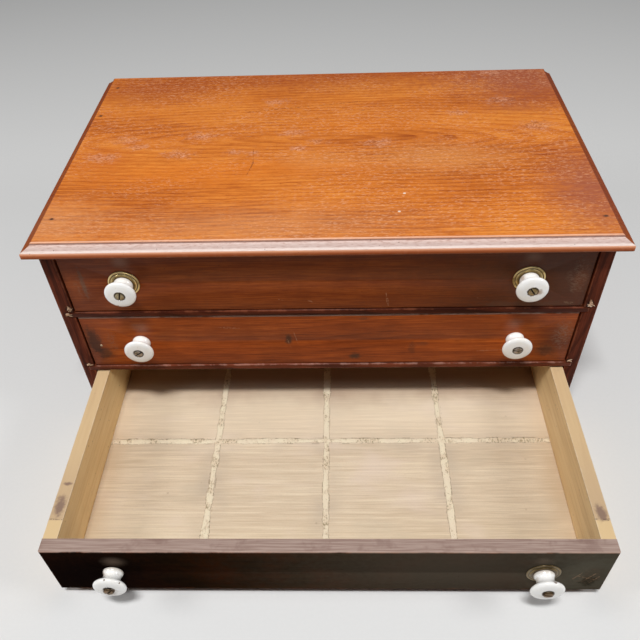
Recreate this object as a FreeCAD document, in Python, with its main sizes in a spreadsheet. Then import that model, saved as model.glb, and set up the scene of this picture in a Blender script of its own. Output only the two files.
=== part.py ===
import FreeCAD, Part
import math
import os
from types import SimpleNamespace

import Sketcher

# Haberdashery cabinet: a table-top chest of three shallow drawers under a moulded top.
# Millimetres. +X is right, +Z is up and the drawers open towards -Y. The origin is the
# centre of the underside of the case. Drawers 1 and 2 are shut and drawer 3 is pulled out.

# ---------------------------------------------------------------- driving dimensions

SIZES = {
    # case
    "case_width": 540.0,
    "case_depth": 336.0,
    "side_thickness": 13.5,
    "bottom_thickness": 12.0,
    "opening_height": 73.5,
    "rail_thickness": 7.5,
    "rail_depth": 45.0,
    "rail_round": 2.0,
    "top_rail_thickness": 5.0,
    "housing_depth": 6.0,
    "runner_width": 20.0,
    "back_thickness": 6.0,
    "back_rebate": 7.0,
    # top board and its moulded edge
    "top_thickness": 13.5,
    "side_overhang": 10.0,
    "front_overhang": 11.5,
    "top_housing": 4.0,
    "top_housing_stop": 20.0,
    "moulding_width": 10.0,
    "bead_radius": 1.5,
    "quirk_depth": 0.8,
    "bevel_drop": 3.2,
    "nose_radius": 2.5,
    "under_round": 2.0,
    # drawer stops
    "stop_spacing": 260.0,
    "stop_width": 30.0,
    "stop_length": 12.0,
    "stop_height": 4.5,
    "stop_gap": 0.2,
    # drawers
    "drawer_side_gap": 1.25,
    "drawer_top_gap": 1.5,
    "drawer_rear_gap": 6.5,
    "front_recess": 1.5,
    "front_thickness": 13.0,
    "front_gap_below": 0.5,
    "front_gap_above": 1.0,
    "front_arris": 0.8,
    "lining_thickness": 13.5,
    "drawer_back_thickness": 10.0,
    "drawer_back_drop": 4.0,
    "drawer_bottom_thickness": 6.0,
    "drawer_bottom_rise": 6.5,
    "side_groove": 6.0,
    "front_groove": 5.0,
    "dovetail_lap": 4.0,
    "tail_slope": 0.17,
    "pin_root": 9.0,
    "drawer_3_open": 215.0,
    # ceramic knobs
    "knob_inset": 59.0,
    "knob_height_1": 37.5,
    "knob_height_2": 36.0,
    "knob_height_3": 35.0,
    "knob_diameter": 30.5,
    "knob_projection": 17.6,
    "knob_rim_height": 13.9,
    "knob_rim_inset": 0.6,
    "knob_rim_drop": 1.5,
    "knob_edge_inset": 3.4,
    "knob_edge_drop": 0.55,
    "knob_flare_diameter": 25.0,
    "knob_flare_height": 11.3,
    "throat_diameter": 17.2,
    "throat_height": 8.0,
    "neck_diameter": 16.2,
    "neck_height": 5.0,
    "collar_diameter": 18.8,
    "collar_thickness": 2.2,
    "knob_bore": 4.6,
    "screw_recess_diameter": 10.6,
    "screw_recess_depth": 1.6,
    # brass screws and back plates
    "screw_head": 9.6,
    "screw_head_height": 2.2,
    "proud_head_height": 3.6,
    "screw_shank": 4.0,
    "screw_hold": 10.0,
    "slot_width": 1.3,
    "slot_depth": 1.0,
    "plate_diameter": 31.0,
    "plate_rim_thickness": 0.8,
    "plate_step_diameter": 24.0,
    "plate_thickness": 1.8,
}

FRONT_TAILS = 3
BACK_TAILS = 2
# Drawer number: slot angle of the left screw, of the right screw, in degrees
SLOT_ANGLES = {1: (35, -20), 2: (80, 10), 3: (-50, 15)}
# Drawer number: hands (-1 left, +1 right) of the knobs that have a brass back plate
PLATED = {1: (-1, 1), 2: (), 3: (1,)}
# The one screw head that stands proud of its knob
PROUD_SCREW = (3, 1)
HANDS = {"left": -1, "right": 1}
# How far a quarter round swells from its chord, as a share of its radius
QUARTER = 1 - math.sqrt(0.5)
# How far a cutter's outline stands outside the wood
CUTTER_ROOM = 1.0
# Two places nearer than this are the same place
SAME_PLACE = 1e-4


class Size:
    """A length that keeps both its value and the sheet formula that gives it."""

    def __init__(self, value, formula=None):
        self.value = float(value)
        self.formula = formula or f"({self.value})"

    def _with(self, other, sign, value):
        return Size(value, f"({self.formula} {sign} {other.formula})")

    def __add__(self, other):
        other = size(other)
        return self._with(other, "+", self.value + other.value)

    def __sub__(self, other):
        other = size(other)
        return self._with(other, "-", self.value - other.value)

    def __mul__(self, other):
        other = size(other)
        return self._with(other, "*", self.value * other.value)

    def __truediv__(self, other):
        other = size(other)
        return self._with(other, "/", self.value / other.value)

    def __neg__(self):
        return size(0) - self

    def __radd__(self, other):
        return size(other) + self

    def __rsub__(self, other):
        return size(other) - self

    def __rmul__(self, other):
        return size(other) * self


def size(number):
    """A plain number as a Size; a Size stays as it is."""
    return number if isinstance(number, Size) else Size(number)


doc = FreeCAD.newDocument("HaberdasheryCabinet")
sheet = doc.addObject("Spreadsheet::Sheet", "Sizes")
for row, (alias, millimetres) in enumerate(SIZES.items(), 1):
    sheet.set(f"A{row}", alias)
    sheet.set(f"B{row}", str(millimetres))
    sheet.setAlias(f"B{row}", alias)
doc.recompute()
dim = SimpleNamespace(**{alias: Size(mm, f"Sizes.{alias}") for alias, mm in SIZES.items()})

# ---------------------------------------------------------------- derived dimensions

case_front = -dim.case_depth / 2
case_back = dim.case_depth / 2
inner_half = dim.case_width / 2 - dim.side_thickness
pitch = dim.opening_height + dim.rail_thickness
# Underside of each drawer: the face that it slides on
drawer_level = {
    1: dim.bottom_thickness + 2 * pitch,
    2: dim.bottom_thickness + pitch,
    3: dim.bottom_thickness,
}
case_height = drawer_level[1] + dim.opening_height + dim.top_rail_thickness
top_surface = case_height + dim.top_thickness
kicker_level = case_height - dim.top_rail_thickness

drawer_half = inner_half - dim.drawer_side_gap
lining_inner = drawer_half - dim.lining_thickness
drawer_length = dim.case_depth - dim.front_recess - dim.back_thickness - dim.drawer_rear_gap
drawer_height = dim.opening_height - dim.drawer_top_gap
front_top = dim.opening_height - dim.front_gap_above
bottom_top = dim.drawer_bottom_rise + dim.drawer_bottom_thickness
bottom_half = lining_inner + dim.side_groove
back_inner = drawer_length - dim.drawer_back_thickness
back_top = drawer_height - dim.drawer_back_drop
shut_front = case_front + dim.front_recess
drawer_front = {1: shut_front, 2: shut_front, 3: shut_front - dim.drawer_3_open}
# How far the knobs stand to each side of the middle
knob_reach = drawer_half - dim.knob_inset
knob_height = {1: dim.knob_height_1, 2: dim.knob_height_2, 3: dim.knob_height_3}
screw_seat = dim.knob_projection - dim.screw_recess_depth

# ---------------------------------------------------------------- drawing helpers

PLANES = {"x": "YZ_Plane", "y": "XZ_Plane", "z": "XY_Plane"}
OUTWARD = FreeCAD.Rotation(FreeCAD.Vector(1, 0, 0), 90)
ORIGIN = (size(0), size(0), size(0))


def new_body(label, at=ORIGIN, turned=None):
    """A body with its own label, placed by sheet formulas."""
    body = doc.addObject("PartDesign::Body", label)
    body.Label = label
    place = FreeCAD.Vector(*(length.value for length in at))
    body.Placement = FreeCAD.Placement(place, turned or FreeCAD.Rotation())
    for axis, length in zip("xyz", at):
        body.setExpression(f"Placement.Base.{axis}", length.formula)
    return body


def new_sketch(body, name, axis, height):
    """A sketch across an axis of the body, at a height along the sketch's normal."""
    sketch = body.newObject("Sketcher::SketchObject", f"{name}Sketch")
    role = PLANES[axis]
    plane = next(item for item in body.Origin.OriginFeatures if item.Role == role)
    sketch.AttachmentSupport = [(plane, "")]
    sketch.MapMode = "FlatFace"
    sketch.setExpression("AttachmentOffset.Base.z", height.formula)
    return sketch


def bind(sketch, name, kind, places, length):
    """Add a named dimension that follows a sheet formula."""
    index = sketch.addConstraint(Sketcher.Constraint(kind, *places, length.value))
    sketch.renameConstraint(index, name)
    sketch.setExpression(f"Constraints.{name}", length.formula)


def arc_radius(start, end, bulge):
    """Radius of the arc between two corners that swells by bulge from its chord."""
    across = end[0] - start[0]
    along = end[1] - start[1]
    return (across * across + along * along) / (8 * bulge) + bulge / 2


def arc_edge(start, end, radius):
    """Minor arc between two points; a positive radius turns anticlockwise."""
    chord = end - start
    reach = math.sqrt(max(radius * radius - chord.Length ** 2 / 4, 0.0))
    inward = FreeCAD.Vector(-chord.y, chord.x, 0).normalize()
    centre = (start + end) / 2 + inward * math.copysign(reach, radius)
    first = math.atan2(start.y - centre.y, start.x - centre.x)
    last = math.atan2(end.y - centre.y, end.x - centre.x)
    circle = Part.Circle(centre, FreeCAD.Vector(0, 0, 1), abs(radius))
    if radius < 0:
        first, last = last, first
    return Part.ArcOfCircle(circle, first, last)


def polygon(corners):
    """Closed outline. A corner is (x, y), or (x, y, bulge) where an arc arrives at it.

    On an anticlockwise outline a positive bulge swells outwards.
    """
    places = [(size(corner[0]), size(corner[1])) for corner in corners]

    def draw(sketch):
        edges = []
        for here, (corner, start) in enumerate(zip(corners, places)):
            after = (here + 1) % len(corners)
            first = FreeCAD.Vector(start[0].value, start[1].value, 0)
            last = FreeCAD.Vector(places[after][0].value, places[after][1].value, 0)
            bulge = corners[after][2:]
            if bulge:
                radius = arc_radius(start, places[after], size(bulge[0]))
                index = sketch.addGeometry(arc_edge(first, last, radius.value), False)
                length = Size(abs(radius.value), f"abs({radius.formula})")
                bind(sketch, f"radius_{index}", "Radius", (index,), length)
                edges.append((index, 1, 2) if radius.value > 0 else (index, 2, 1))
            else:
                index = sketch.addGeometry(Part.LineSegment(first, last), False)
                edges.append((index, 1, 2))
        for here, (index, begin, end) in enumerate(edges):
            following = edges[(here + 1) % len(edges)]
            link = Sketcher.Constraint("Coincident", index, end, following[0], following[1])
            sketch.addConstraint(link)
            bind(sketch, f"across_{index}", "DistanceX", (-1, 1, index, begin), places[here][0])
            bind(sketch, f"along_{index}", "DistanceY", (-1, 1, index, begin), places[here][1])

    return draw


def rectangle(left, right, low, high):
    return polygon([(left, low), (right, low), (right, high), (left, high)])


def circle(x, y, diameter):
    def draw(sketch):
        centre = FreeCAD.Vector(x.value, y.value, 0)
        ring = Part.Circle(centre, FreeCAD.Vector(0, 0, 1), diameter.value / 2)
        index = sketch.addGeometry(ring, False)
        bind(sketch, f"across_{index}", "DistanceX", (-1, 1, index, 3), x)
        bind(sketch, f"along_{index}", "DistanceY", (-1, 1, index, 3), y)
        bind(sketch, f"diameter_{index}", "Diameter", (index,), diameter)

    return draw


def slab(body, name, axis, start, end, *shapes):
    """Pad outlines from start to end along an axis of the body."""
    start, end = size(start), size(end)
    sketch = new_sketch(body, name, axis, -end if axis == "y" else start)
    for draw in shapes:
        draw(sketch)
    pad = body.newObject("PartDesign::Pad", name)
    pad.Profile = sketch
    pad.setExpression("Length", (end - start).formula)


def cut(body, name, axis, start, end, *shapes):
    """Pocket outlines from end back to start along an axis of the body."""
    start, end = size(start), size(end)
    sketch = new_sketch(body, name, axis, -start if axis == "y" else end)
    for draw in shapes:
        draw(sketch)
    pocket = body.newObject("PartDesign::Pocket", name)
    pocket.Profile = sketch
    pocket.setExpression("Length", (end - start).formula)


def turned_solid(body, name, corners):
    """Revolve an outline of (radius, height) corners about the body's own Z axis."""
    sketch = new_sketch(body, name, "y", size(0))
    polygon(corners)(sketch)
    axis = next(item for item in body.Origin.OriginFeatures if item.Role == "Z_Axis")
    revolution = body.newObject("PartDesign::Revolution", name)
    revolution.Profile = sketch
    revolution.ReferenceAxis = (axis, [""])
    revolution.Angle = 360


def span(hand, near, far):
    """The stretch between two distances from the middle, on the left or the right."""
    near, far = size(near), size(far)
    return (near, far) if hand > 0 else (-far, -near)


def bevel_front(body, name, width):
    """Bevel the edges all round the front of the body's last feature."""
    doc.recompute()
    board = body.Tip
    front = board.Shape.BoundBox.YMin
    names = [
        f"Edge{number}"
        for number, edge in enumerate(board.Shape.Edges, 1)
        if edge.BoundBox.YMax - front < SAME_PLACE
    ]
    bevel = body.newObject("PartDesign::Chamfer", name)
    bevel.Base = (board, names)
    bevel.setExpression("Size", width.formula)


def join(label, members):
    """Like pieces of one drawer, kept together as one part."""
    group = doc.addObject("Part::Compound", label)
    group.Label = label
    group.Links = members


def dovetails(count, low, high, shoulder, tip):
    """Outlines of the tails between low and high, from the shoulder to the tip."""
    step = (high - low) / count
    flare = (tip - shoulder) * dim.tail_slope
    if flare.value < 0:
        flare = -flare
    root = (step - dim.pin_root) / 2
    tails = []
    for number in range(count):
        middle = low + step * (number + 0.5)
        tail = [
            (shoulder, middle - root),
            (shoulder, middle + root),
            (tip, middle + root + flare),
            (tip, middle - root - flare),
        ]
        tails.append(polygon(tail))
    return tails


# ---------------------------------------------------------------- case

HOUSINGS = {
    "bottom": (size(0), dim.bottom_thickness),
    "rail_2": (drawer_level[2] - dim.rail_thickness, drawer_level[2]),
    "rail_1": (drawer_level[1] - dim.rail_thickness, drawer_level[1]),
    "top_rail": (kicker_level, case_height),
}


def make_case_side(name, hand):
    """Side board: grooved for the rails, rebated for the back, housed in the top."""
    body = new_body(f"case_side_{name}")
    inner, outer = inner_half, dim.case_width / 2
    stop_front = case_front + dim.top_housing_stop
    stop_back = case_back - dim.top_housing_stop
    tongue_top = case_height + dim.top_housing
    board = [
        (case_front, 0),
        (case_back, 0),
        (case_back, case_height),
        (stop_back, case_height),
        (stop_back, tongue_top),
        (stop_front, tongue_top),
        (stop_front, case_height),
        (case_front, case_height),
    ]
    slab(body, "Board", "x", *span(hand, inner, outer), polygon(board))
    grooves = [rectangle(case_front, case_back, low, high) for low, high in HOUSINGS.values()]
    groove_span = span(hand, inner, inner + dim.housing_depth)
    cut(body, "Housings", "x", *groove_span, *grooves)
    rebate_front = case_back - dim.back_thickness
    rebate = rectangle(*span(hand, inner, inner + dim.back_rebate), rebate_front, case_back)
    cut(body, "BackRebate", "z", 0, case_height, rebate)


def rounded_board(label, low, high, depth):
    """Board across the case with a rounded front edge, let into both sides."""
    body = new_body(label)
    round_ = dim.rail_round
    swell = QUARTER * round_
    section = [
        (case_front + round_, low, swell),
        (case_front + depth, low),
        (case_front + depth, high),
        (case_front + round_, high),
        (case_front, high - round_, swell),
        (case_front, low + round_),
    ]
    reach = inner_half + dim.housing_depth
    slab(body, "Board", "x", -reach, reach, polygon(section))


def make_runner(label, hand, low, high):
    """Strip in the side's groove behind a rail, which a drawer slides on or under."""
    body = new_body(label)
    across = span(hand, inner_half - dim.runner_width, inner_half + dim.housing_depth)
    along = (case_front + dim.rail_depth, case_back - dim.back_thickness)
    slab(body, "Strip", "z", low, high, rectangle(*across, *along))


def make_stop(label, hand, level):
    """Block behind the shut drawer's front."""
    body = new_body(label)
    middle = hand * dim.stop_spacing / 2
    near = shut_front + dim.front_thickness + dim.stop_gap
    block = rectangle(
        middle - dim.stop_width / 2,
        middle + dim.stop_width / 2,
        near,
        near + dim.stop_length,
    )
    slab(body, "Block", "z", level, level + dim.stop_height, block)


def moulding_cutter(lip, inward):
    """What the moulding plane takes off an edge whose outermost line is at lip.

    inward is +1 where the board lies on the positive side of the lip, else -1.
    """
    bead, nose, under = dim.bead_radius, dim.nose_radius, dim.under_round
    bead_foot = dim.moulding_width - bead
    bevel_top = bead + dim.quirk_depth
    bevel_foot = bevel_top + dim.bevel_drop
    profile = [
        (dim.moulding_width, 0),
        (bead_foot, bead, QUARTER * bead),
        (bead_foot, bevel_top),
        (nose, bevel_foot),
        (0, bevel_foot + nose, QUARTER * nose),
        (0, dim.top_thickness - under),
        (under, dim.top_thickness, QUARTER * under),
        (under, dim.top_thickness + CUTTER_ROOM),
        (-CUTTER_ROOM, dim.top_thickness + CUTTER_ROOM),
        (-CUTTER_ROOM, -CUTTER_ROOM),
        (dim.moulding_width, -CUTTER_ROOM),
    ]
    corners = []
    for inset, drop, *bulge in profile:
        place = (lip + inward * size(inset), top_surface - drop)
        corners.append(place + tuple(inward * swell for swell in bulge))
    return polygon(corners)


def make_top():
    """Top board, moulded along the front and both ends and plain at the back."""
    body = new_body("top_board")
    half = dim.case_width / 2 + dim.side_overhang
    lip = case_front - dim.front_overhang
    board = rectangle(-half, half, lip, case_back)
    slab(body, "Board", "z", case_height, top_surface, board)
    cut(body, "FrontMoulding", "x", -half - CUTTER_ROOM, half + CUTTER_ROOM, moulding_cutter(lip, 1))
    ends = (lip - CUTTER_ROOM, case_back + CUTTER_ROOM)
    cut(body, "LeftMoulding", "y", *ends, moulding_cutter(-half, 1))
    cut(body, "RightMoulding", "y", *ends, moulding_cutter(half, -1))
    housed = (case_front + dim.top_housing_stop, case_back - dim.top_housing_stop)
    housings = [
        rectangle(*span(hand, inner_half, dim.case_width / 2), *housed)
        for hand in HANDS.values()
    ]
    cut(body, "SideHousings", "z", case_height, case_height + dim.top_housing, *housings)


def make_case():
    for name, hand in HANDS.items():
        make_case_side(name, hand)
    back_edge = case_back - dim.back_thickness
    rounded_board("bottom_board", *HOUSINGS["bottom"], back_edge - case_front)
    for label in ("rail_2", "rail_1", "top_rail"):
        rounded_board(label, *HOUSINGS[label], dim.rail_depth)
    for name, hand in HANDS.items():
        make_runner(f"runner_2_{name}", hand, *HOUSINGS["rail_2"])
        make_runner(f"runner_1_{name}", hand, *HOUSINGS["rail_1"])
        make_runner(f"kicker_{name}", hand, *HOUSINGS["top_rail"])
        for number, level in drawer_level.items():
            make_stop(f"stop_{number}_{name}", hand, level)
    panel_half = inner_half + dim.back_rebate
    panel = rectangle(-panel_half, panel_half, size(0), case_height)
    slab(new_body("back_panel"), "Panel", "y", back_edge, case_back, panel)
    make_top()


# ---------------------------------------------------------------- drawers


def drawer_body(number, piece):
    """A body in the drawer's own frame: y = 0 is its face, z = 0 its running edge."""
    at = (size(0), drawer_front[number], drawer_level[number])
    return new_body(f"drawer_{number}_{piece}", at)


def corner_tails():
    """Tails at the front corners, the same for the sides and their sockets."""
    low, high = dim.front_gap_below, drawer_height
    return dovetails(FRONT_TAILS, low, high, dim.front_thickness, dim.dovetail_lap)


def rear_tails():
    return dovetails(BACK_TAILS, bottom_top, back_top, back_inner, drawer_length)


def bottom_groove(near, far):
    return rectangle(near, far, dim.drawer_bottom_rise, bottom_top)


def make_front(number):
    """Drawer front with lapped dovetail sockets, a groove and two screw holes."""
    body = drawer_body(number, "front")
    thickness = dim.front_thickness
    board = rectangle(-drawer_half, drawer_half, dim.front_gap_below, front_top)
    slab(body, "Board", "y", 0, thickness, board)
    bevel_front(body, "Arris", dim.front_arris)
    for name, hand in HANDS.items():
        sockets = span(hand, lining_inner, drawer_half)
        cut(body, f"Sockets_{name}", "x", *sockets, *corner_tails())
    groove = bottom_groove(-bottom_half, bottom_half)
    cut(body, "Groove", "y", thickness - dim.front_groove, thickness, groove)
    places = [hand * knob_reach for hand in HANDS.values()]
    holes = [circle(x, knob_height[number], dim.screw_shank) for x in places]
    cut(body, "ScrewHoles", "y", 0, dim.screw_hold, *holes)


def make_drawer_side(number, name, hand):
    """Drawer side: tails at both ends and a groove for the bottom."""
    body = drawer_body(number, f"side_{name}")
    thickness = span(hand, lining_inner, drawer_half)
    board = [
        (dim.front_thickness, 0),
        (drawer_length, 0),
        (drawer_length, bottom_top),
        (back_inner, bottom_top),
        (back_inner, back_top),
        (drawer_length, back_top),
        (drawer_length, drawer_height),
        (dim.front_thickness, drawer_height),
    ]
    slab(body, "Board", "x", *thickness, polygon(board))
    slab(body, "FrontTails", "x", *thickness, *corner_tails())
    slab(body, "BackTails", "x", *thickness, *rear_tails())
    groove = rectangle(dim.dovetail_lap, drawer_length, dim.drawer_bottom_rise, bottom_top)
    cut(body, "Groove", "x", *span(hand, lining_inner, bottom_half), groove)


def make_drawer_back(number):
    """Back board above the bottom, with sockets for the sides' rear tails."""
    body = drawer_body(number, "back")
    board = rectangle(-drawer_half, drawer_half, bottom_top, back_top)
    slab(body, "Board", "y", back_inner, drawer_length, board)
    for name, hand in HANDS.items():
        sockets = span(hand, lining_inner, drawer_half)
        cut(body, f"Sockets_{name}", "x", *sockets, *rear_tails())


def make_drawer_bottom(number):
    """Bottom board, held in the grooves and slid in under the back."""
    body = drawer_body(number, "bottom")
    near = dim.front_thickness - dim.front_groove
    board = rectangle(-bottom_half, bottom_half, near, drawer_length)
    slab(body, "Board", "z", dim.drawer_bottom_rise, bottom_top, board)


def knob_place(number, hand, out):
    """A point on a knob's axis, at a distance out from the drawer's face."""
    return (
        hand * knob_reach,
        drawer_front[number] - out,
        drawer_level[number] + knob_height[number],
    )


def make_plate(number, name, hand):
    """Stepped round brass plate between the knob and the drawer front."""
    at = knob_place(number, hand, size(0))
    body = new_body(f"drawer_{number}_plate_{name}", at, OUTWARD)
    step = dim.plate_step_diameter / 2
    outline = [
        (dim.knob_bore / 2, 0),
        (dim.plate_diameter / 2, 0),
        (dim.plate_diameter / 2, dim.plate_rim_thickness),
        (step, dim.plate_rim_thickness),
        (step, dim.plate_thickness),
        (dim.knob_bore / 2, dim.plate_thickness),
    ]
    turned_solid(body, "Plate", outline)
    return body


def make_knob(number, name, hand, base):
    """Ceramic mushroom knob: flared collar, waisted neck, domed head."""
    at = knob_place(number, hand, base)
    body = new_body(f"drawer_{number}_knob_{name}", at, OUTWARD)
    bore = dim.knob_bore / 2
    collar = dim.collar_diameter / 2
    head = dim.knob_diameter / 2
    top = dim.knob_projection
    recess = dim.screw_recess_diameter / 2
    outline = [
        (bore, 0),
        (collar, 0),
        (collar, dim.collar_thickness),
        (dim.neck_diameter / 2, dim.neck_height),
        (dim.throat_diameter / 2, dim.throat_height),
        (dim.knob_flare_diameter / 2, dim.knob_flare_height),
        (head, dim.knob_rim_height),
        (head - dim.knob_rim_inset, top - dim.knob_rim_drop),
        (head - dim.knob_edge_inset, top - dim.knob_edge_drop),
        (recess, top),
        (recess, screw_seat),
        (bore, screw_seat),
    ]
    turned_solid(body, "Knob", outline)
    return body


def make_screw(number, name, hand, base, slot_angle):
    """Slotted brass screw through the knob into the drawer front."""
    at = knob_place(number, hand, base + screw_seat)
    slot_turn = FreeCAD.Rotation(FreeCAD.Vector(0, 0, 1), slot_angle)
    body = new_body(f"drawer_{number}_screw_{name}", at, OUTWARD.multiply(slot_turn))
    proud = (number, hand) == PROUD_SCREW
    top = dim.proud_head_height if proud else dim.screw_head_height
    head, shank = dim.screw_head / 2, dim.screw_shank / 2
    tip = -(screw_seat + base + dim.screw_hold)
    outline = [
        (0, tip),
        (shank, tip),
        (shank, 0),
        (head, 0),
        (head, top),
        (0, top),
    ]
    turned_solid(body, "Screw", outline)
    reach, half_slot = head + CUTTER_ROOM, dim.slot_width / 2
    slot = rectangle(-reach, reach, -half_slot, half_slot)
    cut(body, "Slot", "z", top - dim.slot_depth, top + CUTTER_ROOM, slot)
    return body


def make_drawer(number):
    make_front(number)
    make_drawer_back(number)
    make_drawer_bottom(number)
    plates, knobs, screws = [], [], []
    for (name, hand), slot_angle in zip(HANDS.items(), SLOT_ANGLES[number]):
        make_drawer_side(number, name, hand)
        base = size(0)
        if hand in PLATED[number]:
            plates.append(make_plate(number, name, hand))
            base = dim.plate_thickness
        knobs.append(make_knob(number, name, hand, base))
        screws.append(make_screw(number, name, hand, base, slot_angle))
    join(f"drawer_{number}_knobs", knobs)
    join(f"drawer_{number}_screws", screws)
    if plates:
        join(f"drawer_{number}_plates", plates)


# ---------------------------------------------------------------- checks and files


def check_model():
    """Stop on any failed object, missing solid or pocket that cuts nothing."""
    for item in doc.Objects:
        if "Invalid" in item.State or "Error" in item.State:
            raise RuntimeError(f"{item.Label} failed: {item.State}")
        if item.TypeId == "PartDesign::Pocket":
            removed = item.BaseFeature.Shape.Volume - item.Shape.Volume
            if removed < 0.1:
                raise RuntimeError(f"{item.Label} cuts nothing")
    for body in bodies():
        if body.Shape.isNull() or not body.Shape.isValid() or len(body.Shape.Solids) != 1:
            raise RuntimeError(f"{body.Label} is not one valid solid")


def bodies():
    return [item for item in doc.Objects if item.TypeId == "PartDesign::Body"]


def parts():
    """The joined groups, and the bodies that are in none."""
    groups = [item for item in doc.Objects if item.TypeId == "Part::Compound"]
    joined = {body.Name for group in groups for body in group.Links}
    return groups + [body for body in bodies() if body.Name not in joined]


def write_parts():
    os.makedirs("parts", exist_ok=True)
    for part in parts():
        part.Shape.exportStep(f"parts/{part.Label}.step")


make_case()
for drawer in drawer_level:
    make_drawer(drawer)
doc.recompute()
check_model()
write_parts()
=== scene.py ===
import functools
import math
import random

import bmesh
import bpy
from mathutils import Matrix, Vector, noise


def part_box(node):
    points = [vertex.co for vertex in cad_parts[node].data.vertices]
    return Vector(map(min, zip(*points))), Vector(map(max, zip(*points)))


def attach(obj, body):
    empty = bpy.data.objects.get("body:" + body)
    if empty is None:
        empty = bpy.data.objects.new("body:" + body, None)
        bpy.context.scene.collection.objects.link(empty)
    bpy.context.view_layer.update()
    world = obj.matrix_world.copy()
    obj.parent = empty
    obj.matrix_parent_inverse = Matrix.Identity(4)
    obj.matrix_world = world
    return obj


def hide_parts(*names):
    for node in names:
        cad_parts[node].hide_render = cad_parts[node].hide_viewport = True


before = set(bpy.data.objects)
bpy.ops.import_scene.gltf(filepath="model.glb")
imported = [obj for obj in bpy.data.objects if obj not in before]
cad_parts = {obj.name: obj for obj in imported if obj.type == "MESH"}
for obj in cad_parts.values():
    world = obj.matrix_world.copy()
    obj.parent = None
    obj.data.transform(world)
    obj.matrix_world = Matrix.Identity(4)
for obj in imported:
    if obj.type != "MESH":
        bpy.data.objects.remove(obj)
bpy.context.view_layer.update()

bl_info = {
    "name": "Haberdashery cabinet",
    "version": (1, 0, 0),
    "blender": (4, 5, 0),
    "location": "View3D > Sidebar > Cabinet",
    "description": "Polishes, fits and lights a three-drawer haberdashery cabinet",
    "category": "Object",
}

MM = 0.001
HANDS = {"left": -1, "right": 1}
DRAWERS = (1, 2, 3)

# The box of the solid model, before anything is dressed
# Lowest and highest corners of the boards that carry marks
TOP_LOW, TOP_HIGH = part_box("top_board")
FRONT_BOX = {number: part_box(f"drawer_{number}_front") for number in DRAWERS}
FLOOR_BOX = {number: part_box(f"drawer_{number}_bottom") for number in DRAWERS}
SIDE_BOX = {number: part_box(f"drawer_{number}_side_left") for number in DRAWERS}


# ---------------------------------------------------------------- properties


def colour(label, words, default):
    return bpy.props.FloatVectorProperty(
        name=label, description=words, default=default, subtype="COLOR", size=3, min=0.0, max=1.0
    )


def length(label, words, default):
    return bpy.props.FloatProperty(
        name=label, description=words, default=default, min=0.0, subtype="DISTANCE",
        unit="LENGTH", precision=5,
    )


def fraction(label, words, default):
    return bpy.props.FloatProperty(
        name=label, description=words, default=default, min=0.0, max=1.0, subtype="FACTOR"
    )


def power(label, words, default):
    return bpy.props.FloatProperty(
        name=label, description=words, default=default, min=0.0, subtype="POWER", unit="POWER"
    )


class CabinetFinish(bpy.types.PropertyGroup):
    top_light: colour("Top, light", "Lightest grain of the top board", (0.84, 0.30, 0.055))
    top_middle: colour("Top, middle", "Middle tone of the top board", (0.66, 0.185, 0.028))
    top_dark: colour("Top, dark", "Darkest grain of the top board", (0.34, 0.070, 0.014))
    case_light: colour("Case, light", "Lightest grain of the case", (0.16, 0.034, 0.014))
    case_middle: colour("Case, middle", "Middle tone of the case", (0.088, 0.018, 0.007))
    case_dark: colour("Case, dark", "Darkest grain of the case", (0.040, 0.009, 0.0045))
    front_light: colour("Fronts, light", "Lightest grain of the fronts", (0.36, 0.085, 0.014))
    front_middle: colour("Fronts, middle", "Middle tone of the fronts", (0.235, 0.046, 0.007))
    front_dark: colour("Fronts, dark", "Darkest grain of the fronts", (0.115, 0.021, 0.004))
    lining_light: colour("Drawer sides, light", "Lightest grain", (0.95, 0.70, 0.36))
    lining_middle: colour("Drawer sides, middle", "Middle tone", (0.90, 0.61, 0.265))
    lining_dark: colour("Drawer sides, dark", "Darkest grain", (0.66, 0.38, 0.13))
    floor_light: colour("Drawer bottoms, light", "Lightest grain", (0.78, 0.66, 0.49))
    floor_middle: colour("Drawer bottoms, middle", "Middle tone", (0.70, 0.56, 0.40))
    floor_dark: colour("Drawer bottoms, dark", "Darkest grain", (0.50, 0.38, 0.25))
    bare_wood: colour("Bare wood", "Freshly broken wood", (0.55, 0.33, 0.19))
    old_glue: colour("Old glue", "Dried glue along the lost dividers", (0.80, 0.70, 0.51))
    glaze: colour("Glaze", "White ceramic of the knobs", (0.98, 0.975, 0.965))
    brass: colour("Brass", "Clean brass of the plates and screws", (0.52, 0.39, 0.17))
    tarnish: colour("Tarnish", "Dark skin on old brass", (0.10, 0.070, 0.032))
    iron: colour("Iron", "Nail heads", (0.05, 0.035, 0.028))
    polish: fraction("Polish", "How much wax and varnish is left", 0.55)
    wear: fraction("Wear", "How strongly edges and marks show", 0.8)
    eased_edge: length("Eased edge", "How far the boards' edges are rubbed off", 0.00045)


class CabinetFittings(bpy.types.PropertyGroup):
    glue_width: length("Glue width", "Width of a dried glue line", 0.0078)
    glue_height: length("Glue height", "Height of the glue crust", 0.00055)
    nail_radius: length("Nail radius", "Radius of a nail head in the top", 0.0015)
    chip_depth: length("Chip depth", "Depth of a chip in a knob", 0.0011)


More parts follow.
